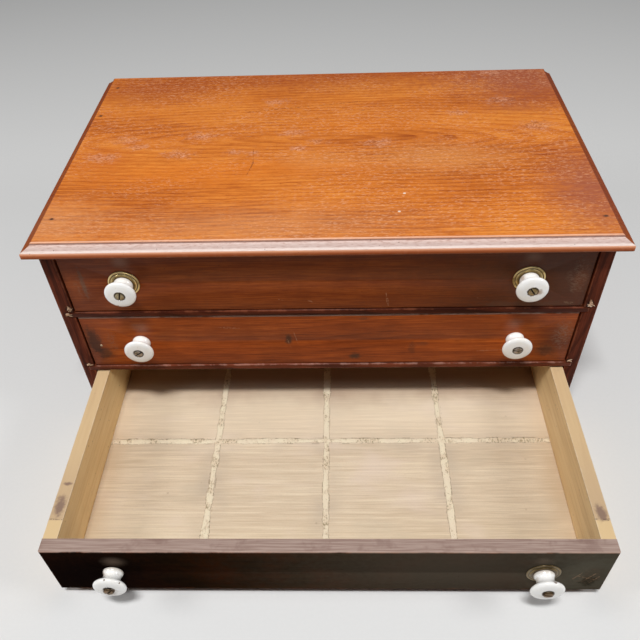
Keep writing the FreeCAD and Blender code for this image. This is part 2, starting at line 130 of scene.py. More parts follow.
class CabinetStage(bpy.types.PropertyGroup):
    floor: colour("Floor", "Colour of the studio floor", (0.74, 0.74, 0.735))
    backdrop: colour("Backdrop", "Colour seen beyond the floor", (0.86, 0.86, 0.85))
    overhead: power("Overhead lamp", "Power of the soft lamp above the cabinet", 82.0)
    fill: power("Fill lamp", "Power of each soft lamp beside the cabinet", 9.5)
    surround: fraction("Surround", "Strength of the even light from all sides", 0.035)
    camera_place: bpy.props.FloatVectorProperty(
        name="Camera place",
        description="Where the camera stands",
        default=(0.01848, -0.66803, 0.64912),
        subtype="XYZ",
        unit="LENGTH",
    )
    camera_turn: bpy.props.FloatVectorProperty(
        name="Camera turn",
        description="How the camera is turned",
        default=tuple(math.radians(angle) for angle in (45.6476, 1.8100, 1.0139)),
        subtype="EULER",
        unit="ROTATION",
    )
    camera_lens: bpy.props.FloatProperty(
        name="Camera lens",
        description="Focal length in millimetres on a 36 mm sensor",
        default=38.6,
        min=1.0,
        subtype="DISTANCE_CAMERA",
    )


# ---------------------------------------------------------------- node helpers


# Columns of nodes, and the room that each one takes in the editor
COLUMNS = 12
NODE_ROOM = (190, 300)


class Nodes:
    """Lays out the nodes of one material or one group."""

    def __init__(self, tree):
        self.tree = tree
        self.count = 0

    def add(self, kind, **settings):
        node = self.tree.nodes.new(kind)
        row, column = divmod(self.count, COLUMNS)
        node.location = (column * NODE_ROOM[0], -row * NODE_ROOM[1])
        self.count += 1
        for name, value in settings.items():
            setattr(node, name, value)
        return node

    def put(self, socket, value):
        """Links a socket to another, or sets its value."""
        if isinstance(value, bpy.types.NodeSocket):
            self.tree.links.new(value, socket)
        elif socket.type == "RGBA" and len(value) == 3:
            socket.default_value = (*value, 1.0)
        else:
            socket.default_value = value

    def math(self, operation, *values, clamp=False):
        node = self.add("ShaderNodeMath", operation=operation, use_clamp=clamp)
        for socket, value in zip(node.inputs, values):
            self.put(socket, value)
        return node.outputs[0]

    def vector(self, operation, *values):
        node = self.add("ShaderNodeVectorMath", operation=operation)
        sockets = [node.inputs[0], node.inputs[3]] if operation == "SCALE" else node.inputs
        for socket, value in zip(sockets, values):
            self.put(socket, value)
        return node.outputs[1 if operation in ("LENGTH", "DOT_PRODUCT") else 0]

    def times(self, first, second):
        return self.math("MULTIPLY", first, second)

    def minus(self, first, second):
        return self.math("SUBTRACT", first, second)

    def gap(self, first, second):
        """How far apart two values are."""
        return self.math("ABSOLUTE", self.minus(first, second))

    def shaken(self, value, cloud, reach):
        """A value moved up and down by a noise."""
        return self.math("MULTIPLY_ADD", self.minus(cloud, 0.5), reach, value)

    def most(self, values):
        return functools.reduce(lambda first, second: self.math("MAXIMUM", first, second), values)

    def step(self, value, low, high, to_low=0.0, to_high=1.0):
        """Rises smoothly from nothing to one between two values."""
        node = self.add("ShaderNodeMapRange", interpolation_type="SMOOTHSTEP")
        for socket, entry in zip(node.inputs, (value, low, high, to_low, to_high)):
            self.put(socket, entry)
        return node.outputs[0]

    def fade(self, value, low, high):
        """Falls smoothly from one to nothing between two values."""
        return self.step(value, low, high, 1.0, 0.0)

    def split(self, vector):
        node = self.add("ShaderNodeSeparateXYZ")
        self.put(node.inputs[0], vector)
        return tuple(node.outputs)

    def join(self, x, y, z):
        node = self.add("ShaderNodeCombineXYZ")
        for socket, value in zip(node.inputs, (x, y, z)):
            self.put(socket, value)
        return node.outputs[0]

    def noise(self, place, stretch=None, scale=1.0, detail=2.0, rough=0.5, distortion=0.0,
              output="Fac"):
        """A cloudy value about one half, in waves per metre."""
        node = self.add("ShaderNodeTexNoise")
        if stretch:
            place = self.vector("MULTIPLY", place, stretch)
        self.put(node.inputs["Vector"], place)
        node.inputs["Scale"].default_value = scale
        node.inputs["Detail"].default_value = detail
        node.inputs["Roughness"].default_value = rough
        node.inputs["Distortion"].default_value = distortion
        return node.outputs[output]

    def mix(self, factor, first, second):
        node = self.add("ShaderNodeMix", data_type="RGBA")
        for socket, value in zip((node.inputs[0], node.inputs[6], node.inputs[7]),
                                 (factor, first, second)):
            self.put(socket, value)
        return node.outputs[2]

    def ramp(self, value, stops):
        node = self.add("ShaderNodeValToRGB")
        self.put(node.inputs[0], value)
        elements = node.color_ramp.elements
        while len(elements) < len(stops):
            elements.new(0.5)
        for element, (place, shade) in zip(elements, stops):
            element.position = place
            element.color = (*shade, 1.0)
        return node.outputs[0]


FLOAT = "NodeSocketFloat"
VECTOR = "NodeSocketVector"
ORIGIN = (0.0, 0.0, 0.0)


def socket_name(word):
    return word.replace("_", " ").title()


def effect_group(name, inputs, outputs, build):
    """The node group of one effect, with its sockets and nodes."""
    tree = bpy.data.node_groups.new(name, "ShaderNodeTree")
    for word, default in inputs.items():
        kind = FLOAT if isinstance(default, float) else VECTOR
        socket = tree.interface.new_socket(
            name=socket_name(word), in_out="INPUT", socket_type=kind
        )
        socket.default_value = default
    for word in outputs:
        tree.interface.new_socket(name=word, in_out="OUTPUT", socket_type=FLOAT)
    n = Nodes(tree)
    enter = n.add("NodeGroupInput").outputs
    leave = n.add("NodeGroupOutput").inputs
    values = build(n, *(enter[socket_name(word)] for word in inputs))
    for socket, value in zip(leave, values):
        n.put(socket, value)
    return tree


def effect(name, outputs, **inputs):
    """Makes a shared effect of the function below it.

    The effect is a node group. It is built once, and each call places it in a material with
    values of its own and gives what the group puts out.
    """
    inputs = {"vector": ORIGIN, **inputs}

    def wrap(build):
        @functools.wraps(build)
        def place(n, **values):
            tree = bpy.data.node_groups.get(name) or effect_group(name, inputs, outputs, build)
            node = n.add("ShaderNodeGroup", node_tree=tree)
            for word, value in values.items():
                n.put(node.inputs[socket_name(word)], value)
            return tuple(node.outputs) if len(outputs) > 1 else node.outputs[0]

        return place

    return wrap


# ---------------------------------------------------------------- shared effects


# Glue lines where the dividers stood, in mm from the drawer's middle and from its front
DIVIDERS_ACROSS = (-122.0, -2.0, 124.0)
DIVIDER_BACK = 161.5


@effect(
    "Wood figure", ("Value", "Fibre", "Pores"), shift=ORIGIN, heart=(0.0, 0.0, -0.06), taper=0.1,
    ring_width=0.006, wander=0.05, fineness=1.0, rings=0.34, fibres=0.30, tone=0.36,
)
def wood_figure(n, vector, shift, heart, taper, ring_width, wander, fineness, rings, fibres, tone):
    """Growth rings about a wandering heart, with fibres and pores along X."""
    place = n.vector("ADD", vector, shift)
    slow = n.noise(place, stretch=(2.0, 4.0, 4.0), output="Color")
    drift = n.vector("SCALE", n.vector("SUBTRACT", slow, (0.5, 0.5, 0.5)), wander)
    x, y, z = n.split(n.vector("SUBTRACT", n.vector("ADD", vector, drift), heart))
    depth = n.math("MULTIPLY_ADD", x, taper, z)
    radius = n.math("SQRT", n.math("MULTIPLY_ADD", depth, depth, n.times(y, y)))
    turns = n.math("FRACT", n.math("DIVIDE", radius, ring_width))
    ring = n.times(n.math("POWER", n.step(turns, 0.15, 0.88), 1.6), n.fade(turns, 0.90, 1.0))
    close = n.vector("SCALE", place, fineness)
    fine = n.noise(close, stretch=(13.0, 360.0, 360.0), detail=2.5, rough=0.6)
    dashes = n.noise(close, stretch=(75.0, 900.0, 900.0), detail=1.0)
    cloud = n.noise(place, stretch=(3.5, 16.0, 16.0), detail=3.0, rough=0.6)
    fibre = n.step(fine, 0.30, 0.70)
    value = n.minus(n.math("MULTIPLY_ADD", rings, 0.35, 0.5), n.times(ring, rings))
    value = n.shaken(value, fibre, fibres)
    value = n.shaken(value, n.step(cloud, 0.28, 0.72), tone)
    return value, fibre, n.step(dashes, 0.57, 0.72)


@effect("Edge wear", ("Edge", "Inset"), low=(-1.0, -1.0, -1.0), high=(1.0, 1.0, 1.0), width=0.002)
def edge_wear(n, vector, low, high, width):
    """A ragged band along the edges of a board, from its lowest and highest corners."""
    from_low = n.vector("SUBTRACT", vector, low)
    from_high = n.vector("SUBTRACT", high, vector)
    x, y, z = n.split(n.vector("MINIMUM", from_low, from_high))
    small = n.math("MINIMUM", x, y)
    large = n.math("MAXIMUM", x, y)
    inset = n.math("MAXIMUM", small, n.math("MINIMUM", large, z))
    ragged = n.noise(vector, scale=95.0, detail=4.0, rough=0.7)
    limit = n.times(width, n.step(ragged, 0.35, 0.75, 0.15, 1.6))
    return n.fade(inset, 0.0, limit), inset


@effect("Stain", ("Patch",), middle=ORIGIN, reach=(0.01, 0.01, 0.01), ragged=1.2, core=0.4)
def stain(n, vector, middle, reach, ragged, core):
    """A ragged patch about a point."""
    away = n.vector("DIVIDE", n.vector("SUBTRACT", vector, middle), reach)
    torn = n.noise(vector, scale=160.0, detail=4.0, rough=0.65)
    uneven = n.shaken(n.vector("LENGTH", away), torn, ragged)
    return (n.fade(uneven, core, 1.0),)


@effect("Scratch", ("Line",), start=ORIGIN, end=(0.01, 0.0, 0.0), width=0.0006)
def scratch(n, vector, start, end, width):
    """A thin broken line from one point to another."""
    along = n.vector("SUBTRACT", end, start)
    away = n.vector("SUBTRACT", vector, start)
    squared = n.vector("DOT_PRODUCT", along, along)
    part = n.math("DIVIDE", n.vector("DOT_PRODUCT", away, along), squared, clamp=True)
    beside = n.vector("LENGTH", n.vector("SUBTRACT", away, n.vector("SCALE", along, part)))
    bent = n.math("ABSOLUTE", n.shaken(beside, n.noise(vector, scale=70.0), 0.004))
    breaks = n.step(n.noise(vector, scale=420.0, detail=1.0), 0.38, 0.55)
    return (n.times(n.fade(bent, 0.0, width), breaks),)


@effect("Speckle", ("Dots", "Cloud"), count=150.0, share=0.4)
def speckle(n, vector, count, share):
    """Scattered dots of dirt, and soft clouds of it."""
    cells = n.add("ShaderNodeTexVoronoi", feature="F1")
    n.put(cells.inputs["Vector"], vector)
    n.put(cells.inputs["Scale"], count)
    chance = n.split(cells.outputs["Color"])[0]
    chosen = n.step(chance, n.minus(1.0, share), 1.0)
    cloud = n.noise(vector, scale=28.0, detail=4.0, rough=0.6)
    return n.times(n.fade(cells.outputs["Distance"], 0.05, 0.16), chosen), n.step(cloud, 0.35, 0.7)


@effect("Varnish ends", ("Inside", "Crown", "Bruised", "Arris"), face=0.0, level=0.1)
def varnish_ends(n, vector, face, level):
    """Raw wood behind a front's face and on its crown; its worn arris with a painted highlight."""
    _, y, z = n.split(vector)
    behind = n.minus(y, face)
    above = n.minus(z, level)
    crown = n.step(above, -0.0006, -0.0002)
    bruise = n.noise(vector, scale=55.0, detail=3.0, rough=0.6)
    arris = n.times(n.step(above, -0.0016, -0.0006), n.step(behind, 0.0016, 0.0006))
    patchy = n.noise(vector, scale=38.0, detail=3.0, rough=0.6)
    return (
        n.step(behind, 0.0006, 0.0012), crown, n.times(crown, n.step(bruise, 0.55, 0.70)),
        n.times(arris, n.step(patchy, 0.30, 0.50)),
    )


@effect("Scrapes", ("Scraped",))
def scrapes(n, vector):
    """Short rubbed marks across a varnished face."""
    rubs = n.noise(vector, stretch=(260.0, 1.0, 520.0), detail=3.0, rough=0.7, distortion=1.2)
    return (n.step(rubs, 0.46, 0.60),)


@effect("Drawer side wear and light", ("Crown", "Inside", "Handled", "Tip", "Foot"), face=0.0, underside=0.0,
        level=0.1, inner=0.25)
def side_wear_and_light(n, vector, face, underside, level, inner):
    """A side's worn crown, handled end, bare tip, darker foot and painted light on its inner face.
    """
    x, y, z = n.split(vector)
    behind = n.minus(y, face)
    crown = n.step(n.minus(z, level), -0.0012, -0.0004)
    return (
        crown,
        n.step(n.minus(inner, n.math("ABSOLUTE", x)), -0.0006, 0.0),
        n.times(crown, n.fade(behind, 0.030, 0.130)),
        n.times(crown, n.fade(behind, 0.0265, 0.0285)),
        n.fade(n.minus(z, underside), 0.004, 0.018),
    )


@effect("Sawn board", ("Ribs", "Combed", "Furrows", "Ridges", "Fuzz", "Bleached", "Yellowed"))
def sawn_board(n, vector):
    """Saw marks, fuzz and uneven bleaching of a thin bare board."""
    ribs = n.noise(vector, stretch=(16.0, 1000.0, 1.0), rough=0.6)
    sawn = n.noise(vector, stretch=(7.0, 330.0, 1.0), detail=3.0, rough=0.62)
    fuzz = n.noise(vector, stretch=(1100.0, 420.0, 1.0), rough=0.7)
    faded = n.noise(vector, stretch=(9.0, 15.0, 1.0), detail=3.0, rough=0.6)
    return (
        ribs, n.step(ribs, 0.42, 0.66), n.step(sawn, 0.52, 0.66), n.step(sawn, 0.48, 0.34),
        n.step(fuzz, 0.52, 0.72), n.step(faded, 0.50, 0.72), n.step(faded, 0.46, 0.30),
    )


@effect("Drawer bottom dirt and light", ("Dust", "Beside", "Patches", "Cracks", "Front", "Middle", "Back"),
        face=0.0, inner=0.25)
def bottom_dirt_and_light(n, vector, face, inner):
    """Dust by the lost dividers, darker sides and front, painted light and shadow at the back."""
    x, y, _ = n.split(vector)
    behind = n.minus(y, face)
    near = n.gap(behind, DIVIDER_BACK * MM)
    for across in DIVIDERS_ACROSS:
        near = n.math("MINIMUM", near, n.gap(x, across * MM))
    cloud = n.noise(vector, scale=22.0, detail=3.0)
    from_side = n.minus(inner, n.math("ABSOLUTE", x))
    rim = n.fade(n.gap(near, 0.0037), 0.0002, 0.0008)
    broken = n.noise(vector, scale=75.0, detail=3.0, rough=0.7)
    return (
        n.times(n.fade(near, 0.003, 0.024), n.step(cloud, 0.3, 0.75)),
        n.times(n.fade(from_side, 0.0, 0.030), n.step(cloud, 0.10, 0.55)),
        n.step(cloud, 0.2, 0.8),
        n.times(rim, n.step(broken, 0.52, 0.60)),
        n.fade(behind, 0.02, 0.09),
        # Painted light on the rear of the bottom, and a painted shadow at its very back
        n.step(behind, 0.14, 0.19),
        n.step(n.shaken(behind, cloud, 0.045), 0.200, 0.250),
    )


@effect("Knob distance", ("Radius", "Out"), middle=0.0, spacing=0.2, height=0.05, left_seat=0.0,
        right_seat=0.0)
def knob_distance(n, vector, middle, spacing, height, left_seat, right_seat):
    """How far a point lies from the axis of the nearer knob, and how far out from its seat."""
    x, y, z = n.split(vector)
    across = n.minus(n.gap(x, middle), spacing)
    up = n.minus(z, height)
    left = n.math("LESS_THAN", x, middle)
    seat = n.math("MULTIPLY_ADD", left, n.minus(left_seat, right_seat), right_seat)
    radius = n.math("SQRT", n.math("MULTIPLY_ADD", across, across, n.times(up, up)))
    return radius, n.minus(seat, y)


@effect("Knob dirt", ("Screw", "Foot", "Waist"), radius=0.01, out=0.01)
def knob_dirt(n, vector, radius, out):
    """Dirt round the screw, at the foot and in the waist of a knob."""
    ragged = n.noise(vector, scale=520.0, detail=3.0, rough=0.7)
    ring = n.fade(n.shaken(radius, ragged, 0.0022), 0.0050, 0.0061)
    wavy = n.shaken(out, ragged, 0.0040)
    waist = n.times(n.fade(wavy, 0.0045, 0.0100), n.step(ragged, 0.52, 0.66))
    return n.times(ring, n.step(out, 0.012, 0.014)), n.fade(wavy, 0.0010, 0.0034), waist


@effect("Tarnish", ("Cloud", "Rubs", "Metal"))
def tarnished(n, vector):
    """The dull skin of old brass, its fine rubs, and where the metal shows through."""
    cloud = n.noise(vector, scale=190.0, detail=4.0, rough=0.65)
    rubs = n.noise(vector, stretch=(900.0, 300.0, 900.0))
    return cloud, rubs, n.step(cloud, 0.30, 0.50, 0.25, 0.95)


# ---------------------------------------------------------------- materials


# How the board's own axes are turned so that the grain lies along X
GRAIN = {"X": (0, 1, 2), "Y": (1, 0, 2), "Z": (2, 0, 1)}


def tinted(shade, tint):
    """A colour with each of its parts made lighter or darker."""
    return tuple(min(1.0, value * part) for value, part in zip(shade, tint))


class Coating:
    """One procedural material while it is being laid out."""

    def __init__(self, name):
        self.material = bpy.data.materials.new(name)
        self.material.use_nodes = True
        tree = self.material.node_tree
        tree.nodes.clear()
        self.n = Nodes(tree)
        self.shader = self.n.add("ShaderNodeBsdfPrincipled")
        out = self.n.add("ShaderNodeOutputMaterial")
        tree.links.new(self.shader.outputs[0], out.inputs["Surface"])
        self.place = self.n.add("ShaderNodeTexCoord").outputs["Object"]
        self.colour = (0.5, 0.5, 0.5)
        self.rough = 0.5
        self.height = None

    def lay(self, shared, **values):
        """Places a shared effect in the material."""
        return shared(self.n, vector=self.place, **values)

    def patch(self, middle, reach, ragged=1.2, core=0.4):
        return self.lay(stain, middle=middle, reach=reach, ragged=ragged, core=core)

    def line(self, start, end, width=0.0006):
        return self.lay(scratch, start=start, end=end, width=width)

    def paint(self, mask, shade, strength=1.0):
        """Lays a colour over what is there, where the mask says."""
        factor = self.n.math("MULTIPLY", mask, strength, clamp=True)
        self.colour = self.n.mix(factor, self.colour, shade)

    def roughen(self, mask, amount):
        self.rough = self.n.math("MULTIPLY_ADD", mask, amount, self.rough)

    def dent(self, mask, depth):
        """Sinks the surface under the mask by a depth in metres, or raises it."""
        start = 0.0 if self.height is None else self.height
        self.height = self.n.math("MULTIPLY_ADD", mask, -depth, start)

    def soil(self, count, share, haze, dots):
        """Lays clouds and dots of dirt, each with its colour and strength."""
        spots, cloud = self.lay(speckle, count=count, share=share)
        self.paint(cloud, *haze)
        self.paint(spots, *dots)
        return cloud

    def rub_edges(self, low, high, width, shade, strength):
        edge, _ = self.lay(edge_wear, low=low, high=high, width=width)
        self.paint(edge, shade, strength)

    def finish(self, coat=0.0, coat_rough=0.2, metal=0.0, specular=0.5, bend=1.5):
        """Joins what was laid to the shader and gives the material."""
        n, inputs = self.n, self.shader.inputs
        rough = n.math("MINIMUM", n.math("MAXIMUM", self.rough, 0.05), 1.0)
        for name, value in (
            ("Base Color", self.colour), ("Roughness", rough), ("Metallic", metal),
            ("Coat Weight", coat), ("Coat Roughness", coat_rough),
            ("Specular IOR Level", specular), ("IOR", bend),
        ):
            n.put(inputs[name], value)
        if self.height is not None:
            bump = n.add("ShaderNodeBump")
            bump.inputs["Strength"].default_value = 1.0
            bump.inputs["Distance"].default_value = 1.0
            n.put(bump.inputs["Height"], self.height)
            n.put(inputs["Normal"], bump.outputs["Normal"])
        return self.material


def wood(name, grain, palette, weights, pores, depth, rough, **figure):
    """A board of one wood. The palette runs from dark to light, the weights from rings to tone."""
    board = Coating(name)
    n = board.n
    parts = n.split(board.place)
    along = n.join(*(parts[index] for index in GRAIN[grain]))
    rings, fibres, tone = weights
    value, board.fibre, holes = wood_figure(
        n, vector=along, rings=rings, fibres=fibres, tone=tone, **figure
    )
    dark, middle, light = palette
    board.colour = n.ramp(value, ((0.12, dark), (0.5, middle), (0.88, light)))
    board.paint(holes, dark, pores)
    board.rough = n.math("MULTIPLY_ADD", board.fibre, -0.10, rough + 0.05)
    board.dent(holes, depth)
    board.dent(board.fibre, -depth * 0.6)
    return board


# ---------------------------------------------------------------- mesh helpers


def new_piece(name, mesh_source, material, body, smooth=True):
    """Turns a bmesh into a named piece that moves with its body."""
    mesh = bpy.data.meshes.new(name)
    mesh_source.to_mesh(mesh)
    mesh_source.free()
    mesh.polygons.foreach_set("use_smooth", [smooth] * len(mesh.polygons))
    mesh.materials.append(material)
    piece = bpy.data.objects.new(name, mesh)
    bpy.context.scene.collection.objects.link(piece)
    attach(piece, body)
    return piece


def curve_through(points, steps):
    """Points along a smooth line through the given points."""
    if len(points) == 2:
        return points
    ends = [2 * points[0] - points[1], *points, 2 * points[-1] - points[-2]]
    line = []
    for a, b, c, d in zip(ends, ends[1:], ends[2:], ends[3:]):
        for step in range(steps):
            t = step / steps
            line.append(
                0.5 * (2 * b + (c - a) * t + (2 * a - 5 * b + 4 * c - d) * t * t
                       + (3 * b - a - 3 * c + d) * t ** 3)
            )
    line.append(points[-1])
    return line


def closed_tube(source, rows):
    """Joins rows of points, each of them a ring, into a tube with both ends closed."""
    rings = [[source.verts.new(point) for point in row] for row in rows]
    faces = []
    for near, far in zip(rings, rings[1:]):
        for index in range(len(near)):
            after = (index + 1) % len(near)
            faces.append(source.faces.new((near[index], near[after], far[after], far[index])))
    faces += [source.faces.new(rings[0]), source.faces.new(rings[-1])]
    bmesh.ops.recalc_face_normals(source, faces=faces)


def turned(source, runs, seat, lift=0.0, around=56, steps=4):
    """Turns an outline about the line out of a front face.

    The outline's runs hold radii and distances out in mm, and the lift moves all of it out.
    """
    outline = []
    for run in runs:
        points = curve_through(
            [Vector((radius * MM, (out + lift) * MM)) for radius, out in run], steps
        )
        outline += points[1:] if outline else points
    turns = [2 * math.pi * turn / around for turn in range(around)]
    closed_tube(source, [
        [
            (seat[0] + point.x * math.cos(turn), seat[1] - point.y,
             seat[2] + point.x * math.sin(turn))
            for turn in turns
        ]
        for point in outline
    ])


def apply_modifiers(piece):
    """Fixes a piece's modifiers in its mesh."""
    bpy.context.view_layer.update()
    shown = piece.evaluated_get(bpy.context.evaluated_depsgraph_get())
    mesh = bpy.data.meshes.new_from_object(shown)
    mesh.name = piece.name
    piece.modifiers.clear()
    piece.data = mesh


# Edges that bend more than this, in degrees, stay sharp
SHARP_ANGLE = 32.0


def smooth_by_angle():
    """A modifier group that smooths the gentle edges of a board and keeps the sharp ones."""
    tree = bpy.data.node_groups.get("Smooth gentle edges")
    if tree:
        return tree
    tree = bpy.data.node_groups.new("Smooth gentle edges", "GeometryNodeTree")
    for way in ("INPUT", "OUTPUT"):
        tree.interface.new_socket(name="Geometry", in_out=way, socket_type="NodeSocketGeometry")
    enter = tree.nodes.new("NodeGroupInput")
    leave = tree.nodes.new("NodeGroupOutput")
    faces = tree.nodes.new("GeometryNodeSetShadeSmooth")
    faces.domain = "FACE"
    edges = tree.nodes.new("GeometryNodeSetShadeSmooth")
    edges.domain = "EDGE"
    edges.inputs["Shade Smooth"].default_value = False
    angle = tree.nodes.new("GeometryNodeInputMeshEdgeAngle")
    sharp = tree.nodes.new("FunctionNodeCompare")
    sharp.operation = "GREATER_THAN"
    sharp.inputs[1].default_value = math.radians(SHARP_ANGLE)
    tree.links.new(enter.outputs[0], faces.inputs["Geometry"])
    tree.links.new(faces.outputs[0], edges.inputs["Geometry"])
    tree.links.new(angle.outputs["Unsigned Angle"], sharp.inputs[0])
    tree.links.new(sharp.outputs[0], edges.inputs["Selection"])
    tree.links.new(edges.outputs[0], leave.inputs[0])
    return tree


def smooth_curves(piece):
    piece.modifiers.new("Smooth curves", "NODES").node_group = smooth_by_angle()


def dress(node, material, width=0.0):
    """Gives a CAD board its material, rubs off its sharp edges and smooths its curves."""
    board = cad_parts[node]
    if not board.material_slots:
        board.data.materials.append(material)
    for entry in board.material_slots:
        entry.link = "OBJECT"
        entry.material = material
    weld = board.modifiers.new("Joined faces", "WELD")
    weld.merge_threshold = 0.01 * MM
    if width:
        rub = board.modifiers.new("Rubbed edges", "BEVEL")
        rub.width = width
        rub.segments = 2
        rub.limit_method = "ANGLE"
        rub.angle_limit = math.radians(40.0)
    smooth_curves(board)


# ---------------------------------------------------------------- pieces and finishes


class FinishStep:
    """What every step of the cabinet's finishing shares."""

    bl_options = {"REGISTER", "UNDO"}

    @property
    def finish(self):
        return bpy.context.scene.cabinet_finish

    @property
    def fittings(self):
        return bpy.context.scene.cabinet_fittings


TOP_SHADES = {
    "dark": (0.34, 0.066, 0.022), "dusk": (0.36, 0.105, 0.062), "haze": (0.70, 0.32, 0.14),
    "gold": (0.78, 0.21, 0.022), "ember": (0.55, 0.12, 0.018), "amber": (0.78, 0.32, 0.095),
    "fleck": (0.88, 0.46, 0.27), "swirl": (0.74, 0.33, 0.18), "rubbed_and_sheen": (0.84, 0.47, 0.33),
    "crack": (0.20, 0.045, 0.018), "cut": (0.16, 0.04, 0.02), "dot": (0.92, 0.80, 0.68),
    "rust": (0.14, 0.055, 0.035), "end": (0.20, 0.040, 0.016), "hollow": (0.50, 0.37, 0.34),
    "nose": (0.92, 0.80, 0.74), "bead": (0.95, 0.60, 0.43), "quirk": (0.22, 0.06, 0.03),
}
# Larger changes of tone on the top, the haze at its front being dust and a painted sheen: (middle
# x, y), (half width, half depth), shade, strength
TOP_CLOUDS = (
    ((-215, 128), (125, 55), "dark", 0.60),
    ((250, 120), (100, 85), "dark", 0.72),
    ((0, 172), (380, 80), "dark", 0.72),
    ((235, 150), (150, 95), "dusk", 0.70),
    ((262, -100), (68, 120), "dusk", 0.85),
    ((215, 72), (60, 22), "dusk", 0.30),
    ((-235, -30), (55, 60), "ember", 0.40),
    # Haze: dust and a painted sheen along the front of the top
    ((-262, -140), (90, 60), "haze", 0.50),
    ((-60, -150), (240, 52), "haze", 0.42),
    ((-60, -48), (250, 24), "gold", 0.50),
    ((-150, -70), (130, 26), "gold", 0.45),
    ((60, 35), (150, 22), "gold", 0.25),
    ((118, -35), (120, 44), "amber", 0.55),
    ((-5, -38), (75, 32), "amber", 0.38),
)
# Pale rubbed swirls on the top: middle (x, y) and half width, in mm
TOP_SWIRLS = (
    (-240, -24, 15), (-223, 11, 13), (-207, -3, 10), (-156, -19, 15), (-138, 18, 13),
    (-98, -17, 9), (-76, -20, 8), (-36, 20, 13), (-28, -13, 9), (-8, 2, 9), (57, -3, 15),
    (232, 28, 16), (204, 160, 12), (203, 88, 14), (150, 60, 11), (-60, 95, 12),
)
# Scratches, specks of paint and nails on the top, in mm
TOP_SCRATCHES = (
    ((-77, -13), (-75, -40)), ((-75, -40), (-80, -64)), ((-186, 27), (-150, 31)),
    ((-96, 71), (40, 92)), ((132, 74), (146, 75)), ((-29, 55), (-8, 52)), ((40, 71), (52, 70)),
)
TOP_DOTS = ((79, -100), (72, -130))
TOP_NAILS = ((-261, -134), (262, -142), (-260, 141), (-264, 70))
# Strips of the front moulding: a painted shade in the hollow of the bevel, painted highlights
# on the nose and the bead, and a darkened quirk. Each is measured down from the top or in from
# the lip, with where it rises and where it ends, in mm, then its shade and strength
MOULDING_STRIPS = (
    ("down", (2.8, 4.2), (5.6, 5.0), "hollow", 0.45),
    ("down", (5.0, 5.6), (6.8, 6.0), "nose", 0.55),
    ("in", (8.6, 9.2), (10.8, 10.0), "bead", 0.62),
    ("in", (8.0, 8.4), (9.0, 8.7), "quirk", 0.55),
)
# Shades of the bevel's painted highlight from its pits to its brightest, and the painted shade
# of the edge from the nose down to the underside, as shares of the board's thickness
BEVEL_HIGHLIGHT = (
    (0.34, (0.46, 0.30, 0.25)), (0.45, (0.66, 0.50, 0.45)), (0.64, (0.77, 0.64, 0.59)),
)
NOSE_PAINTED_SHADE = (
    (0.50, (0.80, 0.42, 0.27)), (0.59, (0.70, 0.27, 0.14)), (0.68, (0.50, 0.14, 0.055)),
    (0.77, (0.32, 0.068, 0.018)), (0.88, (0.19, 0.040, 0.012)),
)


def on_top(x, y):
    """A place on the top board from its distances in mm."""
    return x * MM, y * MM, TOP_HIGH.z


